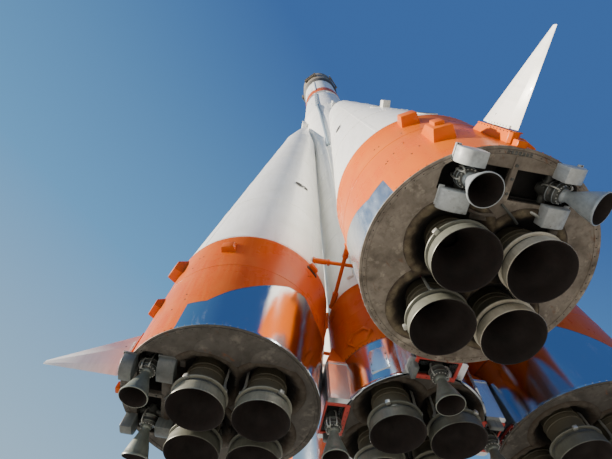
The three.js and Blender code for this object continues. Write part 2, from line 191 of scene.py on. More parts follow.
def weathered(name, colour, worn, roughness, covers=(), metallic=0.0, blotch=300, streak=40,
              wear=(0.42, 0.75), grain=3.0, grainDepth=0.3, wave=0.0, waveSize=200, coat=0.0,
              glint=0.5):
    # a finish with blotches, streaks that run down, fine grain, long waves in sheet metal and
    # patches of other finishes; sizes are millimetres on the model
    material = bpy.data.materials.new(name)
    material.use_nodes = True
    tree = material.node_tree
    tree.nodes.clear()
    coords = addNode(tree, "ShaderNodeTexCoord", output="Object")
    clouds = patches(tree, coords, blotch, *wear)
    drips = patches(tree, coords, streak, wear[0], wear[1] + 0.08, (1, 1, 0.07))
    rough = addNode(tree, "ShaderNodeMapRange", {
        0: clouds, 3: roughness - 0.05, 4: roughness + 0.1,
    })
    bump = addNode(tree, "ShaderNodeBump", {
        "Height": noise(tree, coords, grain, 2.0), "Strength": grainDepth,
        "Distance": grain * 0.0002,
    })
    if wave:
        bump = addNode(tree, "ShaderNodeBump", {
            "Height": noise(tree, coords, waveSize, 2.5), "Strength": 1.0, "Distance": wave,
            "Normal": bump,
        })
    glow = addNode(tree, "ShaderNodeBsdfPrincipled", {
        "Base Color": linearOf(colour), "Metallic": metallic, "Roughness": rough,
        "Coat Weight": coat, "Specular IOR Level": glint, "Normal": bump,
    })
    shader = glow.node
    coverWith(tree, shader, calc(tree, "MAXIMUM", clouds, drips), worn)
    for size, low, high, stretch, detail, other, dull in covers:
        mask = patches(tree, coords, size, low, high, stretch, detail)
        coverWith(tree, shader, mask, other, dull)
    addNode(tree, "ShaderNodeOutputMaterial", {0: glow})
    return material, tree, shader, coords


def surface(*looks, **more):
    return weathered(*looks, **more)[0]


def placeOf(tree):
    # where a point of the surface lies in its piece's own frame, in the real rocket's metres
    return addNode(tree, "ShaderNodeAttribute", output="Vector", attribute_name="place")


def heightOf(tree):
    return addNode(tree, "ShaderNodeSeparateXYZ", {0: placeOf(tree)}, output=2)


enamel = {
    "covers": [(14, 0.73, 0.76, even, 6, "#3A1E14", 0.7)],   # chips down to dark primer
    "blotch": 240, "streak": 34, "wear": (0.42, 0.85), "wave": 0.0016, "coat": 0.03, "glint": 0.15,
}


def skirtPaint(name, colour, faded, profile, tall, worn):
    # The orange enamel, stripped to polished sheet metal low down: the bare patch's height follows
    # a profile of the angle from the fin, and its mirror is wavy and scratched
    material, tree, shader, coords = weathered(name, colour, faded, 0.32, **enamel)
    x, y, z = addNode(tree, "ShaderNodeSeparateXYZ", {0: placeOf(tree)}).node.outputs
    angle = calc(tree, "ARCTAN2", calc(tree, "ABSOLUTE", y), x)
    limit = addNode(tree, "ShaderNodeValToRGB", {0: calc(tree, "DIVIDE", angle, math.pi)}, profile)
    edge = calc(tree, "SUBTRACT", calc(tree, "MULTIPLY", limit, tall), z)
    above = calc(tree, "MULTIPLY_ADD", noise(tree, coords, 30, 3.0), 0.02, edge)
    seam = ramp(tree, above, 0.038, 0.048)
    coverWith(tree, shader, ramp(tree, above, 0.026, 0.032), "#7F8488", 0.35, 1.0)
    coverWith(tree, shader, seam, "#C9CED2", 0.1, 1.0)
    # the scuffs' pale blue is painted sky reflection; booster a's copy spreads them wider
    scuffsAndSkyTint = patches(tree, coords, 45, *worn, (1, 0.4, 0.25), 8)
    coverWith(tree, shader, calc(tree, "MULTIPLY", scuffsAndSkyTint, seam), "#BFD0DF", 0.34, 0.72)
    return material


def shieldPaint(name, colour, stained, faded):
    # Matt heat-resistant coating on the base plates: grey-brown, blotched and streaked with rust,
    # darker towards the nozzles
    material, tree, shader, coords = weathered(
        name, colour, stained, 0.66, [
            (90, 0.56, 0.7, even, 6, faded, 0.55),
            (52, 0.63, 0.72, (1, 0.35, 1), 8, "#6A4630", 0.8),
            (9, 0.72, 0.76, even, 4, "#2B2622", 0.8),
        ], blotch=150, wear=(0.4, 0.72), streak=45, grain=2.5, grainDepth=0.5, wave=0.0016,
        waveSize=130)
    flat = vectorCalc(tree, "MULTIPLY", placeOf(tree), (1, 1, 0))
    middle = (engine["spacing"], engine["spacing"], 0)
    reach = vectorCalc(tree, "DISTANCE", vectorCalc(tree, "ABSOLUTE", flat), middle, output="Value")
    felt = calc(tree, "MULTIPLY_ADD", noise(tree, coords, 80, 3.0), 0.16, reach)
    coverWith(tree, shader, ramp(tree, felt, 0.64, 0.4), "#2A2621", 0.85)
    return material


def bootCloth(name, colour, stained):
    # Coated glass cloth round each nozzle: olive-cream at its hem, black where it runs in
    material, tree, shader, coords = weathered(
        name, colour, stained, 0.8, blotch=60, streak=18, wear=(0.4, 0.7), grain=1.5,
        grainDepth=0.6, wave=0.003, waveSize=28)
    felt = calc(tree, "MULTIPLY_ADD", noise(tree, coords, 50, 4.0), 0.08, heightOf(tree))
    # darker higher up, where the cloth runs in: soot, and painted shade of the opening
    coverWith(tree, shader, ramp(tree, felt, 0.015, 0.04), "#362C22", 0.85)
    coverWith(tree, shader, ramp(tree, felt, 0.04, 0.1), "#12100E", 0.9)
    return material


def nozzleSteel(name, colour, stained):
    # Heat-resistant steel, painted once: grey-cream outside, darker up the barrel towards the plate
    material, tree, shader, coords = weathered(
        name, colour, stained, 0.45, metallic=0.25, blotch=70, streak=14, wear=(0.4, 0.8),
        grain=1.5, wave=0.0006, waveSize=60)
    coverWith(tree, shader, ramp(tree, heightOf(tree), -0.24, -0.12), "#5C584A", 0.6)
    return material


def vernierSteel(name, colour, stained):
    # Blue-grey steel of the small bells, dull and a little stained
    return surface(name, colour, stained, 0.4, metallic=0.3, blotch=50, streak=10,
                   wear=(0.45, 0.8), grain=1.2)


def guardPaint(name, colour, stained):
    # Grey paint on the verniers' guards, rubbed and greasy
    return surface(name, colour, stained, 0.42, [(22, 0.64, 0.7, even, 8, "#6D665C", 0.7)],
                   blotch=90, streak=20, grain=2.0, wave=0.0008, waveSize=90)


# Shapes

def lathe(outline, steps=64):
    # a full turn of an outline of (radius, height), which closes or starts and ends on the axis
    part = bmesh.new()
    verts = [part.verts.new((radius, 0, height)) for radius, height in outline]
    edges = [part.edges.new(pair) for pair in zip(verts, verts[1:])]
    bmesh.ops.spin(part, geom=verts + edges, cent=(0, 0, 0), axis=(0, 0, 1), angle=2 * math.pi,
                   steps=steps, use_merge=True, use_duplicate=False)
    bmesh.ops.remove_doubles(part, verts=part.verts, dist=1e-5)
    bmesh.ops.recalc_face_normals(part, faces=part.faces)
    return part


def hoop(radius, height, thick, steps=48, sides=6):
    # a round bar bent into a ring
    turns = [2 * math.pi * side / sides for side in range(sides + 1)]
    return lathe([(radius + thick * math.cos(t), height + thick * math.sin(t)) for t in turns],
                 steps)


def bevelled(part, width, segments=2, edges=None):
    if width:
        bmesh.ops.bevel(part, geom=edges or part.edges[:], offset=width, segments=segments,
                        profile=0.5, affect="EDGES", material=-1)
    return part


def block(low, high, bevel=0.0, segments=2):
    # a box between two corners with rounded edges
    part = bmesh.new()
    low, high = Vector(low), Vector(high)
    bmesh.ops.create_cube(part, size=1.0, matrix=Matrix.Translation((low + high) / 2)
                          @ Matrix.Diagonal((*(high - low), 1)))
    return bevelled(part, bevel, segments)


def drawn(points):
    # a face through the points, with the far verts of its extrusion
    part = bmesh.new()
    face = part.faces.new([part.verts.new(point) for point in points])
    made = bmesh.ops.extrude_face_region(part, geom=[face])["geom"]
    return part, [item for item in made if isinstance(item, bmesh.types.BMVert)]


def prism(outline, low, high, bevel=0.0):
    # an outline of (x, y) drawn up from one height to another
    part, far = drawn([(x, y, low) for x, y in outline])
    bmesh.ops.translate(part, verts=far, vec=(0, 0, high - low))
    bmesh.ops.recalc_face_normals(part, faces=part.faces)
    return bevelled(part, bevel)


def rod(start, end, radius, steps=20, endRadius=None, bevel=0.0):
    # a round bar or cone between two points
    start, end = Vector(start), Vector(end)
    run = end - start
    lean = run.to_track_quat("Z", "Y").to_matrix().to_4x4()
    part = bmesh.new()
    bmesh.ops.create_cone(
        part, cap_ends=True, segments=steps, radius1=radius,
        radius2=radius if endRadius is None else endRadius, depth=run.length,
        matrix=Matrix.Translation((start + end) / 2) @ lean)
    rims = [edge for edge in part.edges if any(len(face.verts) > 4 for face in edge.link_faces)]
    return bevelled(part, bevel, edges=rims)


def pipe(points, radius):
    # a tube along a smooth curve through the points
    curve = bpy.data.curves.new("pipe", "CURVE")
    curve.dimensions = "3D"
    curve.bevel_depth = radius
    curve.bevel_resolution = 2
    curve.resolution_u = 5
    curve.use_fill_caps = True
    spline = curve.splines.new("BEZIER")
    spline.bezier_points.add(len(points) - 1)
    for knot, point in zip(spline.bezier_points, points):
        knot.co = point
        knot.handle_left_type = knot.handle_right_type = "AUTO"
    return meshedFrom(linked("pipe", curve))


def meshedFrom(*pieces):
    # what the first object and its modifiers come to, as a bmesh; the objects are used up
    bpy.context.view_layer.update()
    solid = pieces[0].evaluated_get(bpy.context.evaluated_depsgraph_get())
    part = partOf(bpy.data.meshes.new_from_object(solid))
    for piece in pieces:
        data = piece.data
        bpy.data.objects.remove(piece)
        kept = bpy.data.meshes if isinstance(data, bpy.types.Mesh) else bpy.data.curves
        kept.remove(data)
    return part


def partOf(mesh, whole=None):
    # a mesh as a bmesh, or added to one; the mesh is used up
    whole = bmesh.new() if whole is None else whole
    whole.from_mesh(mesh)
    bpy.data.meshes.remove(mesh)
    return whole


def meshOf(name, part):
    mesh = bpy.data.meshes.new(name)
    part.to_mesh(mesh)
    part.free()
    return mesh


def combined(part, tools, operation="DIFFERENCE"):
    # a part cut by others, or joined to them
    piece, *helpers = [linked("held", meshOf("held", each)) for each in (part, *tools)]
    for helper in helpers:
        change = piece.modifiers.new("change", "BOOLEAN")
        change.operation = operation
        change.solver = "EXACT"
        change.object = helper
    return meshedFrom(piece, *helpers)


def dressed(part, material=0, matrix=None, smooth=False):
    for face in part.faces:
        face.material_index = material
        face.smooth = smooth
    if matrix is not None:
        part.transform(matrix)
    return part


def rounded(part, material=0, matrix=None):
    return dressed(part, material, matrix, True)


def repaint(part, material, chosen):
    # another finish on the faces whose normal and middle are chosen
    for face in part.faces:
        if chosen(face.normal, face.calc_center_median()):
            face.material_index = material


def stamped(part, places, material=0):
    # the same small shape at many places
    shape = meshOf("shape", part)
    whole = bmesh.new()
    for matrix in places:
        each = shape.copy()
        each.transform(matrix)
        partOf(each, whole)
    bpy.data.meshes.remove(shape)
    return dressed(whole, material)


def gathered(name, parts, sharp=35):
    # one mesh of many parts, which remembers where each point lies in the piece's own frame
    whole = bmesh.new()
    for part in parts:
        partOf(meshOf("store", part), whole)
    layer = whole.verts.layers.float_vector.new("place")
    for vert in whole.verts:
        vert[layer] = vert.co
    mesh = meshOf(name, whole)
    mesh.set_sharp_from_angle(angle=math.radians(sharp))
    return mesh


def standPiece(name, mesh, matrix, materials, node, body="airframe"):
    # a copy of a mesh in its place on the rocket
    placed = mesh.copy()
    placed.name = name
    for material in materials:
        placed.materials.append(material)
    placed.transform(matrix)
    piece = linked(name, placed)
    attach(piece, body)
    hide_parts(node)


# Places on the rocket

def shifted(x=0.0, y=0.0, z=0.0):
    return Matrix.Translation((x, y, z))


def turned(axis, degrees):
    return Matrix.Rotation(math.radians(degrees), 4, axis)


def around(radius, degrees, height=0.0):
    angle = math.radians(degrees)
    return Vector((radius * math.cos(angle), radius * math.sin(angle), height))


def onSkin(turn, height, radius, slope=0.0):
    # a place on a round skin: x runs round it, y up it, z out of it
    out = around(1, turn)
    basis = Matrix(((-out.y, out.x, 0), (0, 0, 1), out)).transposed().to_4x4()
    return Matrix.Translation(around(radius, turn, height)) @ basis @ turned("X", -slope)


def domeHead(radius, rise):
    # a rivet or screw head that stands on z = 0
    return lathe([(radius, 0), (radius * 0.8, rise), (0, rise), (0, 0), (radius, 0)], 6)


def rivetRing(height, radius, head=(0.012, 0.006), material=0, slope=0.0):
    # 72 rivets round a skin
    return stamped(domeHead(*head), [onSkin(5 * k, height, radius, slope) for k in range(72)],
                   material)


def vent(place, wide, rim, thick, rise, sheet=0.004, steps=24):
    # a rim on a skin, with a dark disc in it as painted shade of the hole
    holeShadeDisc = lathe([(0, rise), (wide, rise), (wide, -0.02), (0, -0.02)], steps)
    return [rounded(hoop(rim, sheet, thick, steps), 0, place), dressed(holeShadeDisc, 1, place)]


bandWidth = 0.05
bandRise = 0.006


def banded(radiusAt, low, high, bands, width=bandWidth, rise=bandRise):
    # an outline up a skin with a raised band at each height
    outline = [(radiusAt(low), low)]
    for band in bands:
        start, end = band - width / 2, band + width / 2
        outline += [
            (radiusAt(start), start), (radiusAt(start) + rise, start + 0.004),
            (radiusAt(end) + rise, end - 0.004), (radiusAt(end), end),
        ]
    return outline + [(radiusAt(high), high)]


def straight(radius, low, high, bands, width=bandWidth, rise=bandRise):
    return banded(lambda height: radius, low, high, bands, width, rise)


def mirrored(outline):
    return [(x, -y) for x, y in reversed(outline)]


down = turned("X", 180)
corners = [(1, 1), (1, -1), (-1, 1), (-1, -1)]
# an outline of (y, z) drawn up as (x, y, z) comes to stand along x
acrossToOut = Matrix(((0, 0, 1, 0), (1, 0, 0, 0), (0, 1, 0, 0), (0, 0, 0, 1)))

# Main engines

engine = {
    "spacing": 0.4,          # of a nozzle's axis from the middle of its four, along x and y
    "boosterShift": -0.169,  # the four stand inward of the booster's axis
    "ring": 0.347,
    "ringHeight": -0.25,
    "exit": 0.36,
    "exitHeight": -0.46,
    "boot": 0.5,
    "bootDepth": 0.22,
    "foldReach": 0.42,       # where the cloth sags into folds, how wide and how deep
    "foldWidth": 0.09,
    "folds": ((11, 1.3, 0.007), (23, 0.0, 0.005)),
    "boosterReach": 1.25,    # how far the boots may stand out on the two kinds of plate
    "coreReach": 1.001,
    "steps": 72,
}


def nozzleMesh():
    # barrel, flared shoulder, two stiffening rings and a short skirt, with the bore inside
    ring, level = engine["ring"], engine["ringHeight"]
    wide, low = engine["exit"], engine["exitHeight"]
    shell = rounded(lathe([
        (0, 0.26), (0.235, 0.26), (0.235, 0.1), (0.247, 0.05), (0.25, -0.03), (0.25, -0.145),
        (0.258, -0.175), (0.275, -0.195), (0.3, -0.212), (0.322, level + 0.018),
        (ring - 0.002, level + 0.013), (ring + 0.008, level + 0.009), (ring + 0.012, level),
        (ring + 0.008, level - 0.009), (ring - 0.002, level - 0.013), (0.323, level - 0.016),
        (0.321, level - 0.054), (0.34, level - 0.06), (0.3465, level - 0.068),
        (0.348, -0.36), (0.354, -0.425), (wide - 0.002, -0.44), (wide, low + 0.006),
        (wide - 0.003, low), (wide - 0.01, low), (wide - 0.013, low + 0.008),
        (0.333, -0.37), (0.308, -0.29), (0.27, -0.215), (0.2, -0.15), (0.13, 0.06), (0.11, 0.1),
        (0.15, 0.17), (0.17, 0.24), (0, 0.245),
    ], engine["steps"]))
    # the groove under the ring, painted dark as painted shade, then the bore
    repaint(shell, 2, lambda normal, middle:
            level - 0.05 < middle.z < level - 0.012 and middle.xy.length < 0.33)
    repaint(shell, 1, lambda normal, middle: middle.z < low + 0.0005
            or (normal.xy.dot(middle.xy) < 0 and middle.z < 0.25))
    collars = [rounded(hoop(0.254, z, 0.008)) for z in (-0.02, 0.06)]
    bolts = stamped(domeHead(0.011, 0.012), [
        turned("Z", 15 * k) @ shifted(0.326, 0, level + 0.014) for k in range(24)], 2)
    return gathered("nozzle", [shell, *collars, bolts], 40)


def bootMesh(sideX, sideY):
    # padded cloth from the plate's opening to the barrel, cut where it meets its neighbours
    edge, deep = engine["boot"], engine["bootDepth"]
    part = lathe([
        (edge + 0.03, 0.012), (edge + 0.02, -0.006), (edge, -0.018), (edge - 0.028, -0.024),
        (edge - 0.055, -0.018), (edge - 0.08, 0.0), (edge - 0.11, 0.03), (edge - 0.14, 0.065),
        (edge - 0.17, 0.105), (edge - 0.195, 0.145), (edge - 0.22, deep - 0.035),
        (edge - 0.25, deep - 0.01), (0.225, deep), (0.225, deep + 0.03), (edge + 0.03, deep + 0.03),
        (edge + 0.03, 0.012),
    ], 96)
    for vert in part.verts:
        if vert.co.z < deep:
            turn = math.atan2(vert.co.y, vert.co.x)
            reach = math.hypot(vert.co.x, vert.co.y)
            slack = math.exp(-((reach - engine["foldReach"]) / engine["foldWidth"]) ** 2)
            vert.co.z += slack * sum(depth * math.sin(count * turn + start)
                                     for count, start, depth in engine["folds"])
    for normal in (Vector((-sideX, 0, 0)), Vector((0, -sideY, 0))):
        found = bmesh.ops.bisect_plane(
            part, geom=part.verts[:] + part.edges[:] + part.faces[:], dist=1e-6,
            plane_co=normal * engine["spacing"], plane_no=normal, clear_outer=True)
        rim = [item for item in found["geom_cut"] if isinstance(item, bmesh.types.BMEdge)]
        bmesh.ops.holes_fill(part, edges=rim, sides=0)
    return part


def feedPipe(sideX, sideY):
    # a pale pipe that stands beside the barrel, from the stiffening ring up through the boot
    x, y, _ = around(0.305, 155 if sideX > 0 else 26)
    y *= sideY
    level = engine["ringHeight"]
    stem = pipe([(x, y, 0.2), (x, y, 0.05), (x, y, -0.12), (x * 1.1, y * 1.1, level + 0.02)], 0.017)
    foot = block((x * 1.12 - 0.02, y * 1.12 - 0.02, level - 0.004),
                 (x * 1.12 + 0.02, y * 1.12 + 0.02, level + 0.035), 0.006)
    clip = block((0.33, -0.03, level - 0.03), (0.385, 0.03, level + 0.02), 0.008)
    clipTurn = turned("Z", (60 if sideX > 0 else 120) * sideY)
    return [rounded(stem), dressed(foot), dressed(clip, 0, clipTurn)]


def clusterMeshes(within):
    # the boots and pipes of four nozzles about the middle of the four, kept within a radius
    boots = []
    pipes = []
    for sideX, sideY in corners:
        stand = shifted(sideX * engine["spacing"], sideY * engine["spacing"])
        sleeve = rounded(bootMesh(sideX, sideY), 0, stand)
        for vert in sleeve.verts:
            vert.co.xy *= min(1.0, within / max(vert.co.xy.length, 0.01))
        boots.append(sleeve)
        for part in feedPipe(sideX, sideY):
            part.transform(stand)
            pipes.append(part)
    return gathered("boots", boots, 50), gathered("feedPipes", pipes)


# Verniers

vernierShape = {"length": 0.6, "exit": 0.175, "pin": 0.16, "steps": 40}
coreVernierShape = {**vernierShape, "pin": 0.095}


def vernierMesh(shape, side):
    # chamber, drum and bell about the trunnion at the origin, opening down, with a hairpin of white
    # pipe on the side that faces away from its twin
    low, wide, steps = -shape["length"], shape["exit"], shape["steps"]
    chamber = lathe([
        (0, 0.088), (0.05, 0.088), (0.06, 0.08), (0.062, 0.055), (0.076, 0.05), (0.08, 0.04),
        (0.08, -0.03), (0.09, -0.04), (0.106, -0.05), (0.111, -0.06), (0.111, -0.094),
        (0.106, -0.1), (0.106, -0.122), (0.111, -0.128), (0.111, -0.172), (0.104, -0.184),
        (0.084, -0.19), (0.07, -0.2), (0, -0.2),
    ], steps)
    bell = rounded(lathe([
        (0.03, -0.19), (0.07, -0.195), (0.074, -0.205), (0.072, -0.222), (0.061, -0.235),
        (0.061, -0.255), (0.069, -0.285), (0.083, -0.325), (0.101, -0.375), (0.119, -0.42),
        (0.137, -0.47), (0.152, -0.52), (wide - 0.01, low + 0.032), (wide - 0.005, low + 0.028),
        (wide, low + 0.02), (wide, low + 0.003), (wide - 0.003, low), (wide - 0.01, low),
        (wide - 0.013, low + 0.008), (0.143, -0.52), (0.108, -0.42), (0.06, -0.3),
        (0.045, -0.26), (0.05, -0.22), (0.03, -0.19),
    ], steps), 1)
    repaint(bell, 2, lambda normal, middle: normal.xy.dot(middle.xy) < 0 and middle.z < -0.2)
    pin = rod((-shape["pin"], 0, 0), (shape["pin"], 0, 0), 0.045, bevel=0.008)
    collars = [rod((end * 0.084, 0, 0), (end * 0.093, 0, 0), 0.06) for end in (1, -1)]
    parts = [rounded(chamber), bell, *map(rounded, (pin, *collars))]
    parts += [rounded(hoop(0.112, z, 0.004), 1) for z in (-0.075, -0.15)]
    pipes = [([
        (0.1, along, -0.075), (0.12, along, -0.08), (0.135, along, -0.105), (0.135, along, -0.175),
        (0.126, along * 0.9, -0.2),
    ], 0.0105, 50) for along in (-0.024, 0.024)]
    pipes += [
        ([(0.126, -0.0215, -0.198), (0.118, -0.012, -0.213), (0.116, 0.0, -0.216),
          (0.118, 0.012, -0.213), (0.126, 0.0215, -0.198)], 0.0105, 50),
        ([(0.116, 0.0, -0.211), (0.1, 0.0, -0.217), (0.085, 0.0, -0.214), (0.068, 0.0, -0.208)],
         0.009, 50),
    ]
    pipes += [([
        (0.09, 0.0, -0.19), (0.118, 0.0, -0.18), (0.122, 0.0, -0.06), (0.105, 0.0, top - 0.03),
        (0.07, 0.0, top),
    ], 0.0095, turn) for turn, top in ((100, 0.06), (-60, 0.02))]
    parts += [rounded(pipe(points, thick), 3, turned("Z", turn * side))
              for points, thick, turn in pipes]
    parts.append(stamped(domeHead(0.008, 0.008), [
        turned("Z", 22.5 * k) @ shifted(0.098, 0, -0.186) @ down for k in range(16)], 3))
    return gathered("vernier", parts, 40)


# Boosters

booster = {
    "axisRadius": 2.652, "lean": 3.67, "foot": 1.34, "top": 1.384, "skirtHeight": 2.34,
    "shoulder": 14.5, "shoulderRadius": 0.68, "tip": 18.78, "tipRadius": 0.11, "noseBend": 0.85,
    "bands": (4.6, 6.95, 9.3, 11.8, 14.45), "steps": 128,
    "coneSlope": 3.32, "skirtSlope": -1.08,   # degrees that the skin leans in
}
boosters = {"a": -45, "b": -135, "c": 135, "d": 45}
vernierStand = {"out": 0.955, "aside": 0.47, "height": 0.12}
vernierSwing = {("a", "left"): 28, ("b", "right"): -20}  # how the photographed pair stands
vents = [
    # turn from the fin, height, how many times wider and higher than a round one
    (-70.5, 6.69, 1.125, 2.75), (-14.5, 6.38, 1.5, 1.75), (-7.5, 2.79, 1.8, 2.0),
    (111.5, 6.32, 1.35, 1.5), (120.0, 6.36, 1.05, 1.25),
]


def boosterPlace(azimuth):
    return (wholeRocket @ turned("Z", azimuth) @ shifted(booster["axisRadius"])
            @ turned("Y", -booster["lean"]))


def coneRadius(height):
    # the booster's radius above its skirt
    foot, shoulder = booster["skirtHeight"], booster["shoulder"]
    if height <= shoulder:
        share = (height - foot) / (shoulder - foot)
        return booster["top"] + share * (booster["shoulderRadius"] - booster["top"])
    share = (height - shoulder) / (booster["tip"] - shoulder)
    span = booster["shoulderRadius"] - booster["tipRadius"]
    return booster["tipRadius"] + span * max(0.0, 1 - share) ** booster["noseBend"]


def onCone(turn, height):
    return onSkin(turn, height, coneRadius(height), booster["coneSlope"])


def boosterBodyMesh():
    foot, top, shoulder, tip = (booster[key] for key in ("skirtHeight", "top", "shoulder", "tip"))
    nose = [shoulder + 0.06 + k * 0.42 for k in range(11)]
    outline = [
        (0, foot + 0.001), (top - 0.001, foot + 0.001), (top - 0.001, foot + 0.012),
        (top - 0.014, foot + 0.018), (top - 0.014, foot + 0.045),
        *banded(coneRadius, foot + 0.055, shoulder + 0.03, booster["bands"]),
        *[(coneRadius(h), h) for h in nose if h < tip],
        (booster["tipRadius"], tip), (0.09, tip + 0.03), (0.06, tip + 0.055), (0, tip + 0.06),
    ]
    parts = [rounded(lathe(outline, booster["steps"]))]
    for turn in (45, 135, 225, 315):
        strip = block((-0.022, 0, -0.004), (0.022, shoulder - foot - 0.3, 0.004), 0.002, 1)
        parts.append(dressed(strip, 0, onCone(turn, foot + 0.12)))
    for turn, height, wide, high in vents:
        place = onCone(turn, height) @ Matrix.Diagonal((wide, high, 1, 1))
        parts += vent(place, 0.096, 0.1, 0.009, 0.012, steps=28)
    housing = block((-0.09, -0.16, -0.05), (0.09, 0.16, 0.16), 0.02)
    parts.append(dressed(housing, 2, onCone(-8, 6.0)))
    parts += [rivetRing(height, coneRadius(height) + bandRise, slope=booster["coneSlope"])
              for height in booster["bands"]]
    parts.append(rounded(rod((0, 0, tip + 0.05), (0, 0, tip + 0.14), 0.05, bevel=0.01), 3))
    return gathered("boosterBody", parts)


bareProfile = [
    # share of the half turn from the fin, and share of the bare patch's greatest height
    (0.0, 0.0), (0.3325, 0.0), (0.3335, 0.347), (0.4, 0.347), (0.461, 0.493), (0.517, 0.6),
    (0.578, 0.72), (0.65, 0.855), (0.722, 0.9), (0.794, 0.75), (0.85, 0.73), (1.0, 0.73),
]
bareHeight = 1.5
skirtBoxes = [
    # turn from the fin, low, high, half width, depth; the last is the lid on the first
    (-25, 0.58, 1.3, 0.14, 0.15), (25, 0.92, 1.25, 0.135, 0.1), (28, 1.8, 2.3, 0.14, 0.15),
    (-28, 1.8, 2.3, 0.14, 0.15), (71, 1.82, 2.15, 0.125, 0.09), (-25, 0.7, 1.12, 0.075, 0.19),
]
skirtScrews = [
    # turn and height of screws in the skirt and of loose holes, whose dark heads are painted shade
    (49, 1.88), (52.2, 1.88), (55.9, 0.77), (56.5, 0.65), (49.7, 0.51), (47, 1.62), (-36.5, 1.57),
    (-36.5, 0.7), (-54.3, 0.84), (-53.9, 1.64), (-48, 0.96), (-42.1, 0.58), (-52.9, 0.87),
    (-40.5, 1.12), (-51, 1.61), (131, 1.95), (132.5, 1.99), (-118, 1.7),
]


def skirtRadius(height):
    share = height / booster["skirtHeight"]
    return booster["foot"] + share * (booster["top"] - booster["foot"])


def onSkirt(turn, height, rise=0.0):
    return onSkin(turn, height, skirtRadius(height) + rise, booster["skirtSlope"])


def skirtBox(rise, half, depth):
    # a streamlined box: a flat foot that faces down, sides that narrow and a back that slopes away
    part = block((-half, 0, -0.06), (half, rise, depth))
    for vert in part.verts:
        if vert.co.z > 0:
            vert.co.x *= 0.82
            vert.co.y = rise * 0.5 if vert.co.y > rise / 2 else 0.02
        elif vert.co.y > rise / 2:
            vert.co.x *= 0.75
    return bevelled(part, 0.014)


def boosterSkirtMesh():
    foot, top = booster["foot"], booster["top"]
    shell = rounded(lathe([
        (0, 0.301), (foot - 0.03, 0.301), (foot - 0.03, 0.004), (foot - 0.026, 0),
        (foot + 0.002, 0), (foot + 0.005, 0.006), (skirtRadius(0.04) + 0.005, 0.04),
        (skirtRadius(0.05), 0.046), *banded(skirtRadius, 0.06, 2.27, (1.42,), 0.04, 0.004),
        (skirtRadius(2.28) + 0.006, 2.284), (top + 0.006, 2.33), (top + 0.002, 2.339), (0, 2.339),
    ], booster["steps"]))
    repaint(shell, 3, lambda normal, middle: middle.z < 0.004)
    parts = [shell]
    for turn, low, high, half, depth in skirtBoxes:
        parts.append(dressed(skirtBox(high - low, half, depth), 1, onSkirt(turn, low)))
    parts += finRootParts()
    parts.append(stamped(domeHead(0.009, 0.005), [
        onSkirt(4 * k + 2, *row) for k in range(90) for row in ((0.024, 0.005), (2.305, 0.006))]))
    parts.append(stamped(domeHead(0.013, 0.004), [onSkirt(*at) for at in skirtScrews], 2))
    for side in (1, -1):
        # a dark block standing for the slot as painted shade, and a lug, under the tie rod
        place = onSkin(side * tie["skinTurn"], tie["lugHeight"], skirtRadius(tie["lugHeight"]))
        slot = block((-0.13, -0.035, -0.03), (0.13, 0.035, 0.012), 0.01)
        lug = block((-0.09, 0.03, -0.04), (0.09, 0.13, 0.07), 0.02)
        parts += [dressed(slot, 2, place), dressed(lug, 1, place)]
    return gathered("boosterSkirt", parts)


finRoot = {"inner": 1.32, "face": 1.464, "low": 0.2, "high": 1.17, "top": 1.02, "half": 0.065,
           "chamfer": 0.03}


def sideScrews(head, material, x, half, heights):
    # a row up each side of a blade or block
    return stamped(domeHead(*head), [
        shifted(x, side * half, z) @ turned("X", -90 * side) for side in (1, -1) for z in heights
    ], material)


def finRootParts():
    # the orange block that carries the rudder, with a chamfered foot and a row of screws
    face, low, high, half = (finRoot[key] for key in ("face", "low", "high", "half"))
    cut = finRoot["chamfer"]
    base = prism([(-half, high), (-half, low + cut * 1.3), (cut - half, low), (half - cut, low),
                  (half, low + cut * 1.3), (half, high)], finRoot["inner"], face)
    base.transform(acrossToOut)
    for vert in base.verts:
        if vert.co.x > face - 0.01 and vert.co.z > finRoot["top"]:
            vert.co.z = finRoot["top"]
    bevelled(base, 0.006)
    flange = block((face - 0.01, -half - 0.008, 0.215), (face + 0.001, half + 0.008, 1.03),
                   0.003, 1)
    bracket = block((1.335, -0.075, -0.015), (1.405, 0.03, 0.1), 0.01)
    return [dressed(base, 1), dressed(flange, 1), dressed(bracket, 1),
            sideScrews((0.009, 0.005), 2, face - 0.014, half, [0.28 + 0.08 * k for k in range(10)])]


plate = {"radius": 1.308, "thick": 0.05, "rim": 1.27, "bulge": 0.035}
recess = [
    # the opening for one vernier, beside the post: outline of (x, y)
    (0.79, 0.035), (1.12, 0.035), (1.12, 0.56), (1.11, 0.62), (1.08, 0.68), (1.04, 0.72),
    (0.99, 0.74), (0.79, 0.74),
]


def bootOpenings(shift):
    cutters = []
    for sideX, sideY in corners:
        x, y = shift + sideX * engine["spacing"], sideY * engine["spacing"]
        cutters.append(rod((x, y, -0.3), (x, y, 0.3), engine["boot"] + 0.004, 72))
    return cutters


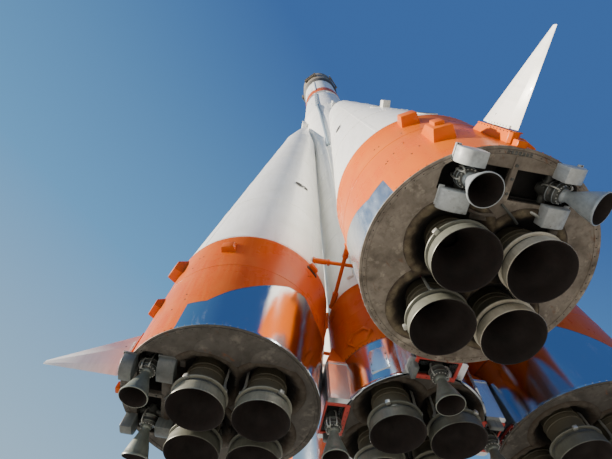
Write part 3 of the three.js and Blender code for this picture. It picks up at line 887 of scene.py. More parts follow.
def boosterPlateMesh():
    # the heat shield: a flat disc with a four-lobed opening, two recesses and shallow bulges
    radius, thick, rim = plate["radius"], plate["thick"], plate["rim"]
    shift = engine["boosterShift"]
    disc = lathe([
        (0, thick), (radius - 0.002, thick), (radius, thick - 0.004), (radius, -0.002),
        (radius - 0.005, -0.008), (rim, -0.008), (rim - 0.006, 0.0), (0, 0.0),
    ], booster["steps"])
    bulges = []
    for x, y, wide, long in ((0.11, 0.85, 0.32, 0.3), (-0.59, 0.84, 0.3, 0.27)):
        bulge = bmesh.new()
        bmesh.ops.create_uvsphere(bulge, u_segments=40, v_segments=20, radius=1.0)
        size = Matrix.Diagonal((wide, long, plate["bulge"] + 0.012, 1))
        bulge.transform(shifted(x, y, 0.012) @ size)
        bulges.append(bulge)
    recesses = (recess, mirrored(recess))
    openings = [*bootOpenings(shift), *[prism(outline, -0.3, 0.3) for outline in recesses]]
    parts = [rounded(combined(combined(disc, bulges, "UNION"), openings))]
    for outline, side in zip(recesses, (1, -1)):
        parts += recessParts(outline, side)
    parts += plateFittings()
    for part in parts:
        part.transform(shifted(-shift))
    return gathered("boosterPlate", parts, 30)


def recessParts(outline, side):
    # the pocket behind an opening, with a frame and ribs inside, all black as painted shade
    pocket = prism(outline, 0.045, 0.285)
    openFaces = [face for face in pocket.faces if face.normal.z < -0.9]
    bmesh.ops.delete(pocket, geom=openFaces, context="FACES")
    bmesh.ops.reverse_faces(pocket, faces=pocket.faces)
    bmesh.ops.solidify(pocket, geom=pocket.faces[:], thickness=-0.008)
    bars = [block((x, side * 0.04, 0.12), (x + 0.02, side * 0.72, 0.16), 0.004, 1)
            for x in (0.795, 1.095)]
    bars.append(block((0.79, side * 0.706, 0.1), (1.04, side * 0.728, 0.15), 0.004, 1))
    return [dressed(part, 1) for part in (pocket, *bars)]


def plateFittings():
    # rivets, screws on the rim, slots near the fin, the beam between the verniers and loose pipes
    rim = plate["radius"] - 0.019
    rows = [(turn, 1.05 + 0.045 * k)
            for turn in (70, 100, 150, 180, 210, 260, 290) for k in range(5)]
    rows += [(turn, 1.225) for turn in range(48, 314, 6)]
    parts = [
        stamped(domeHead(0.0075, 0.005), [
            turned("Z", 5 * k) @ shifted(rim, 0, -0.008) @ down for k in range(72)], 2),
        stamped(domeHead(0.007, 0.004), [
            turned("Z", turn) @ shifted(reach) @ down for turn, reach in rows]),
    ]
    parts += [dressed(block((1.262, y - 0.014, -0.012), (1.3, y + 0.014, 0.0), 0.003, 1), 3)
              for y in (-0.13, -0.09, -0.05, -0.01, 0.03, 0.07, 0.11)]
    parts.append(dressed(block((0.77, -0.032, -0.01), (1.25, 0.032, 0.06), 0.006), 5))
    parts += [dressed(rod((x, 0, -0.01), (x, 0, -0.024), 0.017, 6), 3)
              for x in (1.158, 1.018, 0.86)]
    parts += [rounded(pipe(points, thick), material) for points, thick, material in (
        ([(0.743, -0.015, -0.02), (0.66, 0.1, -0.045), (0.561, 0.23, -0.02)], 0.014, 3),
        ([(0.715, 0.308, 0.01), (0.7, 0.36, -0.04), (0.675, 0.43, -0.045), (0.654, 0.5, 0.0)],
         0.016, 4),
        ([(0.62, -0.33, 0.01), (0.6, -0.25, -0.03), (0.61, -0.12, -0.03), (0.6, -0.03, 0.01)],
         0.02, 5),
    )]
    parts.append(dressed(block((0.53, -0.3, -0.01), (0.62, -0.05, 0.01), 0.01), 5))
    parts.append(dressed(block((0.49, 0.6, -0.03), (0.56, 0.7, 0.01), 0.01), 5))
    parts += [rounded(hoop(0.02, 0, 0.012, 14), 5,
                      shifted(-0.17, side * (0.42 + 0.03 * k), 0.02 + 0.004 * k) @ turned("X", 90))
              for k in range(9) for side in (1, -1)]   # a ribbed hose
    return parts


guards = [
    # near and far along x, hang, inner and outer along y
    (1.1, 1.26, 0.22, 0.41, 0.67), (0.6, 0.82, 0.15, 0.41, 0.71),
]


def guardMesh():
    # fairings that hang beside the verniers, each one sheet of metal bent round its outer end
    parts = []
    for near, far, hang, inner, outer in guards:
        across = outer - inner
        bend = [(inner + across * (0.35 + 0.65 * math.sin(t)), -hang * (0.25 + 0.75 * math.cos(t)))
                for t in [math.radians(9 * k) for k in range(11)]]
        outline = [(inner, 0.012), (inner, -hang), *bend, (outer, 0.012)]
        for side in (1, -1):
            sheet = prism([(side * y, z) for y, z in outline], near, far, 0.009)
            parts.append(rounded(sheet, 0, acrossToOut))
            low, high = sorted((side * (outer - 0.05), side * (outer + 0.012)))
            tab = block((near + 0.01, low, -0.016), (far + 0.02, high, 0.006), 0.005, 1)
            parts.append(dressed(tab))
            parts.append(stamped(domeHead(0.008, 0.005), [
                shifted(near + 0.035 + 0.045 * k, side * (outer - 0.01), -0.016) @ down
                for k in range(4)], 1))
    return gathered("guards", parts, 45)


rudder = {"root": 1.48, "tip": 2.48, "low": 0.2, "high": 1.06, "tipLow": 0.19, "tipHigh": 0.26,
          "half": 0.04, "hinge": 0.72, "gap": 1.466}


def rudderMesh():
    # a blade with a diamond section, thick at the root and fine at the tip, and its shaft
    root, low, high, half = (rudder[key] for key in ("root", "low", "high", "half"))
    part, far = drawn([(root, y, z) for z, y in (
        (low, 0.0), (low + 0.2, half), (high - 0.3, half), (high, 0.0), (high - 0.3, -half),
        (low + 0.2, -half))])
    for vert in far:
        vert.co.x += rudder["tip"] - root
        shrink = (rudder["tipHigh"] - rudder["tipLow"]) / (high - low)
        vert.co.z = rudder["tipLow"] + (vert.co.z - low) * shrink
        vert.co.y *= 0.12
    bmesh.ops.recalc_face_normals(part, faces=part.faces)
    shaft = rod((rudder["gap"], 0, rudder["hinge"]), (1.6, 0, rudder["hinge"]), 0.035)
    rib = block((root - 0.003, -half - 0.004, low + 0.12),
                (root + 0.03, half + 0.004, high - 0.2), 0.004, 1)
    screws = sideScrews((0.007, 0.004), 1, root + 0.014, half + 0.004,
                        [0.38 + 0.07 * k for k in range(7)])
    return gathered("rudder", [dressed(bevelled(part, 0.004)), rounded(shaft, 1), dressed(rib),
                               screws])


# Core

core = {"radius": 1.02, "tail": 1.035, "bandHeight": 0.75, "steps": 128, "waist": 1.475,
        "top": 1.33, "vernier": (1.12, 0, 0.02)}
coreOutline = [(1.02, 2.3), (1.02, 14.3), (1.085, 16), (1.14, 17), (1.19, 18), (1.26, 19),
               (1.475, 19.9), (1.475, 20.3), (1.33, 26.3)]
coreBands = (4.7, 7.1, 9.5, 11.9, 14.3, 16.7, 19.0, 20.1, 22.2, 24.3)


def coreRadiusAt(height):
    for (r0, z0), (r1, z1) in zip(coreOutline, coreOutline[1:]):
        if height <= z1:
            return r0 + (r1 - r0) * max(0.0, height - z0) / (z1 - z0)
    return coreOutline[-1][0]


def coreBodyMesh():
    parts = [rounded(lathe([
        (0, 2.301), (1.019, 2.301), (1.019, 2.315), (1.008, 2.32), (1.008, 2.335),
        *banded(coreRadiusAt, 2.34, 26.24, coreBands),
        (1.338, 26.245), (1.338, 26.29), (1.33, 26.3), (0, 26.3),
    ], core["steps"]))]
    parts += [rivetRing(height, coreRadiusAt(height) + bandRise) for height in coreBands]
    # where a booster's tip pushes, with the flat pad of the waist
    supports = (((1.2, -0.18, 19.34), (1.62, 0.18, 19.95), 0.02),
                ((1.3, -0.21, 19.9), (1.63, 0.21, 19.97), 0.015),
                ((1.3, -0.21, 19.3), (1.6, 0.21, 19.37), 0.015))
    parts += [dressed(block(*ends), 0, turned("Z", azimuth))
              for azimuth in boosters.values() for ends in supports]
    # the cable duct: straight above the waist, bent along the narrowing skin below it
    lean = math.degrees(math.atan2(core["waist"] - core["top"], 6.0))
    place = onSkin(-84, 20.35, core["waist"], lean)
    parts.append(rounded(block((-0.1, 0, -0.03), (0.1, 5.83, 0.07), 0.03, 3), 2, place))
    parts += [dressed(block((-0.125, k + 0.25, -0.02), (0.125, k + 0.31, 0.082), 0.006), 0, place)
              for k in range(6)]
    along = [(coreRadiusAt(z) + 0.02, 0, z) for z in (12.5, 14.3, 16, 17, 18, 19, 19.9, 20.36)]
    parts.append(rounded(pipe(along, 0.085), 2, turned("Z", -83)))
    run = block((-0.07, 0, -0.02), (0.07, 11.4, 0.05), 0.02)
    parts.append(dressed(run, 0, onSkin(-92, 2.6, core["radius"])))
    for turn, height in ((-60, 24.9), (-100, 22.9), (40, 23.4), (150, 24.2)):
        parts += vent(onSkin(turn, height, coreRadiusAt(height)), 0.06, 0.064, 0.01, 0.006)
    return gathered("coreBody", parts)


pod = {"near": 0.93, "far": 1.255, "half": 0.4, "high": 0.68, "apex": 1.4}


def coreTailMesh():
    radius = core["tail"]
    shell = lathe([
        (0, 0.301), (radius - 0.03, 0.301), (radius - 0.03, 0.003), (radius - 0.026, 0),
        (radius, 0), (radius + 0.004, 0.006), (radius + 0.004, 0.03), (radius, 0.036),
        *straight(radius, 0.05, 2.24, (0.75, 1.55), 0.03, 0.004),
        (radius + 0.005, 2.25), (radius + 0.005, 2.29), (radius, 2.299), (0, 2.299),
    ], core["steps"])
    openings = [dressed(block((0.96, -0.26, -0.5), (1.4, 0.26, 0.25)), 0, turned("Z", azimuth))
                for azimuth in boosters.values()]
    parts = [rounded(combined(shell, openings))]
    parts += [part for azimuth in boosters.values() for part in podParts(azimuth)]
    hexagon = [(0.23 * math.cos(math.radians(60 * k)), 0.17 * math.sin(math.radians(60 * k)))
               for k in range(6)]
    for turn in (0, 90, 180, 270):
        # a six-sided port and a lid with screws
        hollow = prism([(x * 0.82, y * 0.8 - 0.01) for x, y in hexagon], -0.012, 0.05)
        port = combined(prism(hexagon, -0.05, 0.03, 0.006), [hollow])
        parts.append(dressed(port, 1, onSkin(turn - 4, 0.95, radius)))
        lid = prism([(-0.13, -0.2), (0.13, -0.2), (0.13, 0.13), (0.1, 0.2), (-0.1, 0.2),
                     (-0.13, 0.13)], -0.03, 0.012, 0.004)
        place = onSkin(turn + 8, 0.36, radius)
        parts.append(dressed(lid, 3, place))
        parts.append(stamped(domeHead(0.01, 0.006), [
            place @ shifted(x, y, 0.012) for x in (-0.11, 0.11) for y in (-0.17, -0.06, 0.05)], 2))
    rows = [onSkin(turn, z, radius + 0.004) for turn in range(0, 360, 4)
            if abs(turn % 90 - 45) > 18 for z in (0.018, 0.745, 2.27)]   # clear of the pods
    parts.append(stamped(domeHead(0.01, 0.006), rows, 2))
    uprights = [onSkin(turn, 0.07 + 0.06 * k, radius)
                for turn in (27, 117, 207, 297, 63, 153, 243, 333) for k in range(11)]
    parts.append(stamped(domeHead(0.009, 0.006), uprights, 2))
    return gathered("coreTail", parts)


def podParts(azimuth):
    # a polished box that carries a vernier, an orange gusset over it and a red frame below
    near, far, half, high = (pod[key] for key in ("near", "far", "half", "high"))

    def bothSides(*points):
        return [*points, *mirrored(points)]

    box = prism(bothSides((near, -half), (far - 0.03, -half), (far, 0.04 - half)), 0.0, high)
    shell = combined(box, [block((0.9, -0.26, -0.2), (1.244, 0.26, 0.25))])
    lip = prism(bothSides((near, -half - 0.01), (far - 0.025, -half - 0.01),
                          (far + 0.008, 0.035 - half)), high - 0.05, high - 0.035)
    gusset, top = drawn([(x, y, high) for x, y in bothSides((near, -half), (far, 0.03 - half))])
    for vert in top:
        vert.co = (0.98 if vert.co.x < 1.1 else 1.04, vert.co.y * 0.06, pod["apex"])
    bmesh.ops.recalc_face_normals(gusset, faces=gusset.faces)
    frameBars = [block(*ends, 0.006) for ends in (
        ((1.245, -0.3, -0.012), (1.27, 0.3, 0.03)), ((1.0, 0.26, -0.012), (1.25, 0.305, 0.03)),
        ((1.0, -0.305, -0.012), (1.25, -0.26, 0.03)), ((0.93, -0.3, -0.012), (1.0, 0.3, 0.02)),
    )]
    # a black sheet across the top of the opening, as painted shade
    dark = block((1.012, -0.258, 0.235), (1.22, 0.258, 0.249))
    pad = block((1.0, -0.34, -0.12), (1.2, -0.27, 0.02), 0.02, 3)
    screws = [shifted(far, 0.04 * k - 0.36, 0.035) @ turned("Y", 90) for k in range(19)]
    parts = [dressed(shell, 3), dressed(lip, 3), dressed(gusset, 1), dressed(dark, 5),
             *[dressed(bar, 4) for bar in frameBars], rounded(pad, 6),
             stamped(domeHead(0.009, 0.006), screws, 2)]
    for part in parts:
        part.transform(turned("Z", azimuth))
    return parts


def corePlateMesh():
    radius = core["tail"] - 0.031
    disc = lathe([
        (0, 0.06), (radius, 0.06), (radius, -0.004), (radius - 0.004, -0.01), (0.93, -0.01),
        (0.92, 0.0), (0, 0.0),
    ], core["steps"])
    screws = [turned("Z", 5 * k) @ shifted(0.965, 0, -0.01) @ down for k in range(72)]
    return gathered("corePlate", [rounded(combined(disc, bootOpenings(0))),
                                  stamped(domeHead(0.008, 0.005), screws, 2)], 30)


# Tie rods

tie = {"skinTurn": 134, "skinHeight": 2.54, "coreTurn": 8, "coreHeight": 2.45, "radius": 0.035,
       "step": 0.07, "sleeve": 0.052, "lugHeight": 2.2}


def tieRodMesh(azimuth, side):
    # from a booster's skin to the core beside the next booster, with sleeves and eyes at its ends
    rise = side * tie["step"]
    reach = coneRadius(tie["skinHeight"])
    local = around(reach, side * tie["skinTurn"], tie["skinHeight"] + rise)
    start = (boosterPlace(azimuth) @ local) / modelScale
    end = around(core["radius"], azimuth + side * (90 - tie["coreTurn"]), tie["coreHeight"] + rise)
    run = (end - start).normalized()
    parts = [rounded(rod(start + run * 0.02, end - run * 0.02, tie["radius"]))]
    for at, way in ((start, run), (end, -run)):
        low, nut = at + way * 0.06, at + way * 0.27
        parts.append(rounded(rod(low, low + way * 0.2, tie["sleeve"], bevel=0.008)))
        parts.append(dressed(rod(nut, nut + way * 0.05, 0.058, 6)))
        parts.append(dressed(rod(at, low, 0.07, 6, endRadius=0.05)))
    return gathered("tieRod", parts)


# Upper stages

stage = {"foot": 26.3, "truss": 0.9, "radius": 1.33, "tail": 0.9, "top": 34.4, "bays": 10,
         "orangeTop": 29.2, "nozzleSpacing": 0.34, "vernierReach": 0.98, "flareTop": 34.99,
         "fairing": 1.5, "shoulder": 40.3, "fairingTop": 45.0, "towerShoulder": 48.7, "steps": 112}
stageFoot = stage["foot"] + stage["truss"]
stageTailTop = stageFoot + stage["tail"]


def trussMesh():
    low, high = stage["foot"] + 0.001, stageFoot - 0.001
    radius = stage["radius"]
    parts = [rounded(lathe([
        (radius - 0.07, z), (radius, z), (radius, z + 0.02), (radius - 0.03, z + 0.025),
        (radius - 0.03, z + 0.055), (radius, z + 0.06), (radius, z + 0.08),
        (radius - 0.07, z + 0.08), (radius - 0.07, z),
    ], stage["steps"])) for z in (low, high - 0.08)]
    middle = radius - 0.035
    step = 180 / stage["bays"]
    for bay in range(stage["bays"]):
        turn = 2 * step * bay
        foot = around(middle, turn, low + 0.04)
        for headTurn in (turn + step, turn - step):
            head = around(middle, headTurn, high - 0.04)
            run = (head - foot).normalized()
            parts.append(rounded(rod(foot, head, 0.033, 14)))
            parts += [rounded(rod(at + way * 0.05, at + way * 0.16, 0.045, 14, endRadius=0.034))
                      for at, way in ((foot, run), (head, -run))]
        for place in (onSkin(turn, low + 0.06, middle), onSkin(turn + step, high - 0.06, middle)):
            parts.append(dressed(block((-0.1, -0.05, -0.02), (0.1, 0.05, 0.045), 0.008), 0, place))
    return gathered("truss", parts)


def stageTailMesh():
    radius = stage["radius"]
    inner = radius - 0.04
    ends = (stageFoot + 0.05, stageTailTop - 0.05)
    skin = straight(radius, stageFoot + 0.001, stageTailTop - 0.001,
                    (ends[0], stageFoot + 0.45, ends[1]))
    shell = lathe([(inner, stageFoot), *skin, (inner, stageTailTop), (inner, stageFoot)],
                  stage["steps"])
    return gathered("stageTail", [rounded(shell), *[rivetRing(z, radius + bandRise) for z in ends]])


def stageEngineMesh():
    radius = stage["radius"] - 0.041
    low = stageTailTop - 0.1
    parts = [rounded(lathe([
        (0, low), (radius - 0.05, low), (radius - 0.04, low - 0.02), (radius, low - 0.02),
        (radius, stageTailTop - 0.001), (0, stageTailTop - 0.001),
    ], stage["steps"]), 1)]
    bell = [
        (0, 0.02), (0.12, 0.02), (0.12, -0.14), (0.105, -0.18), (0.1, -0.26), (0.135, -0.38),
        (0.18, -0.52), (0.215, -0.68), (0.244, -0.83), (0.25, -0.84), (0.25, -0.85),
        (0.236, -0.85), (0.2, -0.68), (0.12, -0.4), (0.07, -0.28), (0, -0.27),
    ]
    feed = [(0.13, 0, -0.1), (0.2, 0, -0.12), (0.22, 0, -0.04), (0.22, 0, 0.02)]
    small = [(0, 0), (0.05, 0), (0.04, -0.1), (0.075, -0.24), (0.07, -0.24), (0.03, -0.1),
             (0, -0.09)]
    for sideX, sideY in corners:
        place = shifted(sideX * stage["nozzleSpacing"], sideY * stage["nozzleSpacing"], low)
        parts.append(rounded(lathe(bell, 40), 0, place))
        parts += [rounded(hoop(r, -z, 0.009, 40), 0, place)
                  for r, z in ((0.183, 0.52), (0.217, 0.68), (0.108, 0.26))]
        parts.append(rounded(pipe(feed, 0.02), 2, place))
    aside = shifted(stage["vernierReach"], 0, low)
    parts += [rounded(lathe(small, 24), 0, turned("Z", turn) @ aside) for turn in (0, 90, 180, 270)]
    return gathered("stageEngine", parts, 40)


def stageBodyMesh():
    radius = stage["radius"]
    low, high = stageTailTop + 0.001, stage["top"] - 0.001
    bands = (stageTailTop + 0.2, stage["orangeTop"], 32.0, 33.9)
    outline = [(0, low), *straight(radius, low, high, bands), (0, high)]
    tank = rounded(lathe(outline, stage["steps"]))
    repaint(tank, 2, lambda normal, middle: middle.z < stage["orangeTop"])
    parts = [tank, *[rivetRing(z, radius + bandRise, material=2 if z < 29 else 0) for z in bands]]
    for turn, height, wide in ((-118, 29.85, 0.16), (-96, 30.0, 0.09), (-62, 29.9, 0.08),
                               (20, 30.2, 0.07), (140, 30.0, 0.08)):
        parts += vent(onSkin(turn, height, radius), wide, wide + 0.004, 0.01, 0.008, 0.005)
    duct = block((-0.09, 0, -0.02), (0.09, 5.6, 0.06), 0.025, 3)
    parts.append(rounded(duct, 0, onSkin(-84, 28.5, radius)))
    return gathered("stageBody", parts)


def fairingLowerMesh():
    wide, low, top = stage["fairing"], stage["top"] + 0.001, stage["shoulder"] - 0.001
    bands = (35.1, 36.6, 38.6, 40.2)
    barrel = rounded(lathe([
        (0, low), (1.329, low), (1.34, low + 0.029), (1.495, 34.97),
        *straight(wide, 35.0, top, bands, 0.06, 0.007), (0, top),
    ], stage["steps"]))
    repaint(barrel, 2, lambda normal, middle: middle.z < stage["flareTop"])   # painted shade under the rim
    parts = [barrel]
    for turn in (45, 135, 225, 315):
        strip = block((-0.03, 0, -0.004), (0.03, 5.1, 0.008), 0.003, 1)
        hatch = block((-0.22, 0, -0.004), (0.22, 0.62, 0.012), 0.006, 1)
        parts += [dressed(strip, 0, onSkin(turn, 35.15, wide)),
                  dressed(hatch, 0, onSkin(turn + 20, 37.2, wide))]
    parts += [rivetRing(height, wide + 0.007, (0.014, 0.008)) for height in bands]
    for turn in gridFinTurns.values():
        for side in (1, -1):
            near, far = sorted((side * 0.475, side * 0.548))
            ear = block((1.42, near, 36.72), (1.66, far, 36.95), 0.015)
            foot = block((1.47, side * 0.51 - 0.09, 36.66), (1.53, side * 0.51 + 0.09, 37.0), 0.012)
            parts += [dressed(part, 1, turned("Z", turn)) for part in (ear, foot)]
    return gathered("fairingLower", parts)


def fairingUpperMesh():
    wide, low = stage["fairing"], stage["shoulder"] + 0.001
    shell = rounded(lathe([
        (0, low), (wide - 0.001, low), (wide - 0.004, low + 0.029),
        *[(1.5 - 0.38 * (k / 6) ** 1.08, 40.35 + 2.05 * k / 6) for k in range(1, 7)],
        (1.13, 42.42), (1.13, 42.48), (1.105, 42.5), (1.05, 43.1), (1.02, 43.3), (0.86, 43.8),
        (0.72, 44.25), (0.6, 44.62), (0.5, 44.85), (0.42, 44.999), (0, 44.999),
    ], stage["steps"]))
    return gathered("fairingUpper", [shell, rivetRing(42.45, 1.13, (0.014, 0.008))])


def escapeMotorMesh():
    foot, top = stage["fairingTop"] + 0.001, stage["towerShoulder"] - 0.001
    parts = [rounded(lathe([
        (0, foot), (0.42, foot), (0.425, foot + 0.06), (0.41, foot + 0.09), (0.365, 45.38),
        *straight(0.36, 45.4, top, (46.2, 47.4, 48.5), 0.06, 0.008), (0, top),
    ]))]
    for t in (0.4, 2.5, 4.6):
        x, y = 0.37 * math.cos(t), 0.37 * math.sin(t)
        parts.append(rounded(rod((x, y, 45.45), (x, y, 48.6), 0.02, 10), 1))
    return gathered("escapeMotor", parts)


def escapeTipMesh():
    foot = stage["towerShoulder"] + 0.001
    parts = [rounded(lathe([
        (0, foot), (0.36, foot), (0.4, 48.75), (0.462, 48.8), (0.468, 48.84), (0.468, 49.16),
        (0.455, 49.2), (0.26, 49.33), (0.235, 49.4), (0.21, 49.7), (0.18, 50.0), (0.14, 50.2),
        (0.07, 50.5), (0.045, 50.57), (0, 50.6),
    ]))]
    bell = [(0, 0), (0.03, 0), (0.052, -0.1), (0.045, -0.1), (0.02, -0.03), (0, -0.03)]
    parts += [rounded(lathe(bell, 16), 1,
                      turned("Z", 30 * k) @ shifted(0.405, 0, 48.82) @ turned("Y", -24))
              for k in range(12)]
    return gathered("escapeTip", parts)


gridFinTurns = {"grid_fin_1": 0, "grid_fin_2": 90, "grid_fin_3": 180, "grid_fin_4": -90}
gridFin = {"near": 1.535, "far": 1.635, "half": 0.6, "low": 36.97, "high": 38.45, "bar": 0.028,
           "columns": 9, "rows": 11, "hingeRadius": 1.6, "hingeHeight": 36.85}


def gridFinMesh():
    # a framed lattice of thin crossing plates, folded up against the fairing
    near, far, half, low, high, bar, columns, rows, radius, height = gridFin.values()
    frameBars = [((near, y0, low), (far, y1, high), 0.006)
                 for y0, y1 in ((-half, bar - half), (half - bar, half))]
    frameBars += [((near, 0.01 - half, z0), (far, half - 0.01, z1), 0.006)
                  for z0, z1 in ((low, low + 0.045), (high - bar, high))]
    across = [2 * half * column / columns - half for column in range(1, columns)]
    upward = [low + (high - low) * row / rows for row in range(1, rows)]
    frameBars += [((near + 0.01, y - 0.006, low + 0.02), (far - 0.01, y + 0.006, high - 0.02))
                  for y in across]
    frameBars += [((near + 0.012, 0.02 - half, z - 0.006), (far - 0.012, half - 0.02, z + 0.006))
                  for z in upward]
    barrel = rod((radius, -0.468, height), (radius, 0.468, height), 0.045, 24, bevel=0.008)
    parts = [*[dressed(block(*ends)) for ends in frameBars], rounded(barrel)]
    for y in (-0.3, 0.3):
        parts.append(dressed(block((radius - 0.035, y - 0.045, height + 0.01),
                                   (radius + 0.03, y + 0.045, low + 0.04), 0.01)))
        place = shifted(radius, y, height) @ turned("X", 90)
        parts.append(rounded(hoop(0.05, 0, 0.012, 24), 0, place))
    return gathered("gridFin", parts)


# The scene

makeCamera()
makeLight()
floorPart = bmesh.new()
bmesh.ops.create_grid(floorPart, x_segments=8, y_segments=8, size=view["floorSize"] / 2,
                      matrix=shifted(0, 0, view["floor"]))
floor = linked("floor", meshOf("floor", floorPart))
# Pale smooth concrete
floor.data.materials.append(surface("floorFinish", view["floorColour"], view["floorWorn"], 0.75,
                                    blotch=2500, streak=900, wear=(0.4, 0.8), grain=6.0))
print("camera, floor and light made")

# Satin white paint on sheet metal: faint grime in streaks, long soft waves in the reflections
white = surface("whitePaint", "#F0F1EE", "#D9DAD4", 0.36,
                [(26, 0.66, 0.74, even, 8, "#B9B8B0", 0.6)], blotch=420, streak=38,
                wear=(0.45, 0.8), wave=0.0012, waveSize=260, coat=0.15)
# Glossy orange enamel, chalked paler in patches, with chips down to dark primer
# the lighter, yellower copy is painted sunlight for booster a
usualOrange, litOrange = ("#BD5208", "#C76E2C"), ("#CB5C02", "#D06E14")
orange = surface("orangePaint", *usualOrange, 0.34, waveSize=220, **enamel)
orangeLit = surface("orangePaintBleached", *litOrange, 0.34, waveSize=220, **enamel)
skirtLitScuffed = skirtPaint("skirtPaintLitScuffed", *litOrange, bareProfile, bareHeight, (0.2, 0.95))
skirtOrange = skirtPaint("skirtPaint", *usualOrange, bareProfile, bareHeight, (0.6, 0.9))
tailOrange = skirtPaint("tailPaint", *usualOrange, [(0.0, 1.0), (1.0, 1.0)], core["bandHeight"],
                        (0.52, 0.82))
# Lighter copies are painted sunlight for booster a, darker copies painted shade for the rest
shield = shieldPaint("shieldPaint", "#857D72", "#4F473D", "#A39B8D")
shieldShaded = shieldPaint("shieldPaintShaded", "#504D48", "#35322E", "#66625B")
boot = bootCloth("bootCloth", "#6F654F", "#4C4234")
bootShaded = bootCloth("bootClothShaded", "#4A443A", "#352F27")
nozzle = nozzleSteel("nozzleSteel", "#D2CEBE", "#A7A28F")
nozzleShaded = nozzleSteel("nozzleSteelShaded", "#8F9083", "#6E6F64")
# a darker copy again, as painted shade on the shaded side of each cluster
nozzleDeepShade = nozzleSteel("nozzleSteelDeepShade", "#6C6E64", "#54564E")
# The inside of a fired nozzle: soot over brown-red oxide
bore = surface("nozzleBore", "#1B100D", "#0E0908", 0.75, blotch=80, streak=20, wear=(0.4, 0.7))
vernierGrey = vernierSteel("vernierSteel", "#A0A9AE", "#7B8388")
vernierShaded = vernierSteel("vernierSteelDull", "#80877F", "#666C66")
# Oiled dark steel of the vernier chambers and trunnions; on the nozzles it is painted shade in the
# ring groove
dark = surface("darkSteel", "#5C5F5D", "#454744", 0.48, metallic=0.5, blotch=50, streak=10,
               wear=(0.4, 0.7), grain=1.2)
# Bare tube, bright where it is handled
bright = surface("pipeSteel", "#C3C5BF", "#9A9B94", 0.34, metallic=0.6, blotch=40, streak=8,
                 wear=(0.45, 0.75), grain=1.0)
guard = guardPaint("guardPaint", "#B3BABC", "#85898B")
guardShaded = guardPaint("guardPaintDull", "#666C6C", "#4C5050")
# Painted shade: black for the unlit depths behind the plate, inside the core's vernier pods and in
# vent holes
paintedShadeBlack = surface("recessBlack", "#0D0C0C", "#161413", 0.7, blotch=60, streak=15)
# Pinkish red primer on the frames of the core's verniers
red = surface("primerRed", "#C4453C", "#A2382F", 0.5, blotch=70, streak=16, wear=(0.45, 0.8),
              grain=2.0)
# Polished sheet metal on the core's tail: a wavy mirror
mirror = surface("bareMetal", "#D9DEE3", "#B9BFC6", 0.2, metallic=0.75, blotch=120, streak=30,
                 wear=(0.5, 0.85), wave=0.0022, waveSize=90)
# Blackened screw heads; the same black is painted shade in holes, slots and small vents
screwsAndHoleShade = surface("screwDark", "#241F1C", "#3A2A20", 0.6, blotch=20, streak=8)
# Blue-grey paint on the cable duct up the core
ductGrey = surface("ductPaint", "#7E8E9A", "#6A7883", 0.4, blotch=90, streak=20, wear=(0.45, 0.8))
# Pale grey paint on the open truss
trussGrey = surface("trussPaint", "#D3D7D8", "#AFB3B2", 0.42, blotch=120, streak=16,
                    wear=(0.45, 0.8))
# Matt brown-grey coating of the payload fairing, faded in cloudy patches
fairing = surface("fairingPaint", "#857B6A", "#6A6152", 0.58,
                  [(160, 0.6, 0.75, even, 6, "#A39A88", 0.65)], blotch=260, streak=34,
                  wear=(0.4, 0.7), wave=0.001, waveSize=220)
# Brown-grey painted lattice, worn to metal on its edges
lattice = surface("latticeMetal", "#6C6353", "#8E8470", 0.5, metallic=0.2, blotch=60, streak=12,
                  wear=(0.5, 0.75))
# Off-white paint on the escape tower
tower = surface("towerPaint", "#DBDBD3", "#BDBCB2", 0.4, blotch=200, streak=24, wear=(0.45, 0.8),
                wave=0.0008, waveSize=160, coat=0.1)
print("finishes made")

nozzleShape = nozzleMesh()
bootShape, pipeShape = clusterMeshes(engine["boosterReach"])
coreBootShape = clusterMeshes(engine["coreReach"])[0]
vernierBody = {sign: vernierMesh(vernierShape, sign) for sign in (1, -1)}
coreVernierBody = vernierMesh(coreVernierShape, 1)
plateShape = boosterPlateMesh()
guardShape = guardMesh()
skirtShape = boosterSkirtMesh()
bodyShape = boosterBodyMesh()
rudderShape = rudderMesh()
print("booster shapes made")


def standCluster(name, matrix, sleeves, cloth, steel):
    # four nozzles with their boots and pipes, on a plate whose middle is the matrix's origin
    node = f"{name}_engine"
    standPiece(f"{name}_boots", sleeves, matrix, [cloth], node)
    standPiece(f"{name}_feed_pipes", pipeShape, matrix, [bright], node)
    for index, (sideX, sideY) in enumerate(corners, 1):
        stand = matrix @ shifted(sideX * engine["spacing"], sideY * engine["spacing"])
        # the nozzles on the -y side take the darker steel as painted shade
        standPiece(f"{name}_nozzle_{index}", nozzleShape, stand,
                   [steel if sideY > 0 else nozzleDeepShade, bore, dark], node)


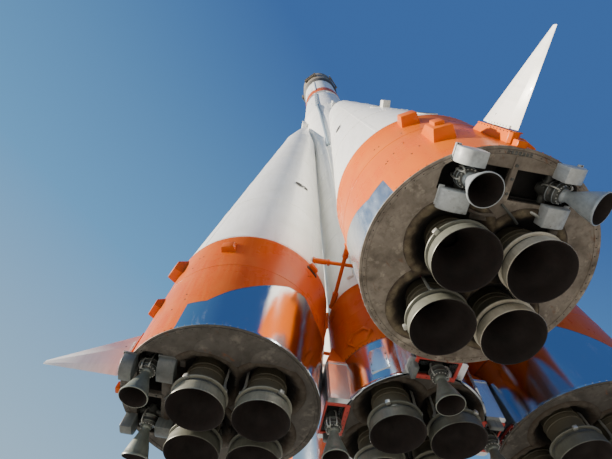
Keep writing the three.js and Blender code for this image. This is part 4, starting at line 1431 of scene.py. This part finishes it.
for letter, azimuth in boosters.items():
    place = boosterPlace(azimuth)
    name = f"booster_{letter}"
    # booster a takes the lighter copies as painted sunlight, the others the darker as painted shade
    coat, cloth, steel, sheet, bell, skirts = (
        (shield, boot, nozzle, guard, vernierGrey, (skirtLitScuffed, orangeLit)) if letter == "a"
        else (shieldShaded, bootShaded, nozzleShaded, guardShaded, vernierShaded, (skirtOrange, orange)))
    cluster = place @ shifted(engine["boosterShift"])
    for piece, mesh, stand, finishes, node, slot in (
        ("cone", bodyShape, place, [white, paintedShadeBlack, tower, bright], "body", "body_white"),
        ("tail_skirt", skirtShape, place, [*skirts, screwsAndHoleShade, coat], "skirt", "skirt_orange"),
        ("plate", plateShape, cluster, [coat, paintedShadeBlack, screwsAndHoleShade, dark, bright, coat], "engine",
         "heat_shield"),
        ("guards", guardShape, place, [sheet, screwsAndHoleShade], "engine", "heat_shield"),
    ):
        standPiece(f"{name}_{piece}", mesh, stand, finishes, f"{name}_{node}")
    standCluster(name, cluster, bootShape, cloth, steel)
    standPiece(f"{name}_fin_blade", rudderShape, place, [white, screwsAndHoleShade], f"{name}_rudder",
               f"rudder_{letter}")
    for side, sign in (("left", 1), ("right", -1)):
        stand = (place @ shifted(vernierStand["out"], sign * vernierStand["aside"],
                                 vernierStand["height"])
                 @ turned("X", vernierSwing.get((letter, side), 0)))
        standPiece(f"{name}_small_bell_{side}", vernierBody[sign], stand,
                   [dark, bell, bore, bright], f"{name}_vernier_{side}",
                   f"vernier_{letter}_{side}")
print("boosters stand")

coreCluster = wholeRocket @ turned("Z", 45)
standPiece("core_tank", coreBodyMesh(), wholeRocket, [white, screwsAndHoleShade, ductGrey], "core_body")
standPiece("core_tail_skirt", coreTailMesh(), wholeRocket,
           [tailOrange, orange, screwsAndHoleShade, mirror, red, paintedShadeBlack, guardShaded], "core_tail")
standPiece("core_plate", corePlateMesh(), coreCluster, [shieldShaded, paintedShadeBlack, screwsAndHoleShade], "core_engine")
standCluster("core", coreCluster, coreBootShape, bootShaded, nozzleShaded)
for letter, azimuth in boosters.items():
    stand = wholeRocket @ turned("Z", azimuth) @ shifted(*core["vernier"])
    standPiece(f"core_small_bell_{letter}", coreVernierBody, stand,
               [dark, vernierShaded, bore, bright], f"core_vernier_{letter}",
               f"core_vernier_{letter}")
    for side, sign in (("left", 1), ("right", -1)):
        standPiece(f"tie_bar_{letter}_{side}", tieRodMesh(azimuth, sign), wholeRocket,
                   [orange, screwsAndHoleShade], f"tie_rod_{letter}_{side}")
print("core stands")

for name, mesh, finishes, node, slot in (
    ("stage_truss", trussMesh(), [trussGrey], "interstage_truss", "truss_grey"),
    ("stage_tail", stageTailMesh(), [orange], "third_stage_tail", "skirt_orange"),
    ("stage_engine", stageEngineMesh(), [nozzle, shield, bright], "third_stage_engine",
     "nozzle_metal"),
    ("stage_tank", stageBodyMesh(), [white, screwsAndHoleShade, orange], "third_stage_body", "body_white"),
    ("fairing_barrel", fairingLowerMesh(), [fairing, lattice, shieldShaded], "fairing_lower",
     "fairing_paint"),
    ("fairing_cone", fairingUpperMesh(), [fairing], "fairing_upper", "fairing_paint"),
    ("tower_motor", escapeMotorMesh(), [tower, bright], "escape_motor", "tower_paint"),
    ("tower_tip", escapeTipMesh(), [tower, dark], "escape_tip", "tower_paint"),
):
    standPiece(name, mesh, wholeRocket, finishes, node)
gridFinShape = gridFinMesh()
for node, azimuth in gridFinTurns.items():
    standPiece(f"{node}_lattice", gridFinShape, wholeRocket @ turned("Z", azimuth), [lattice], node,
               node)
print("upper stages stand")
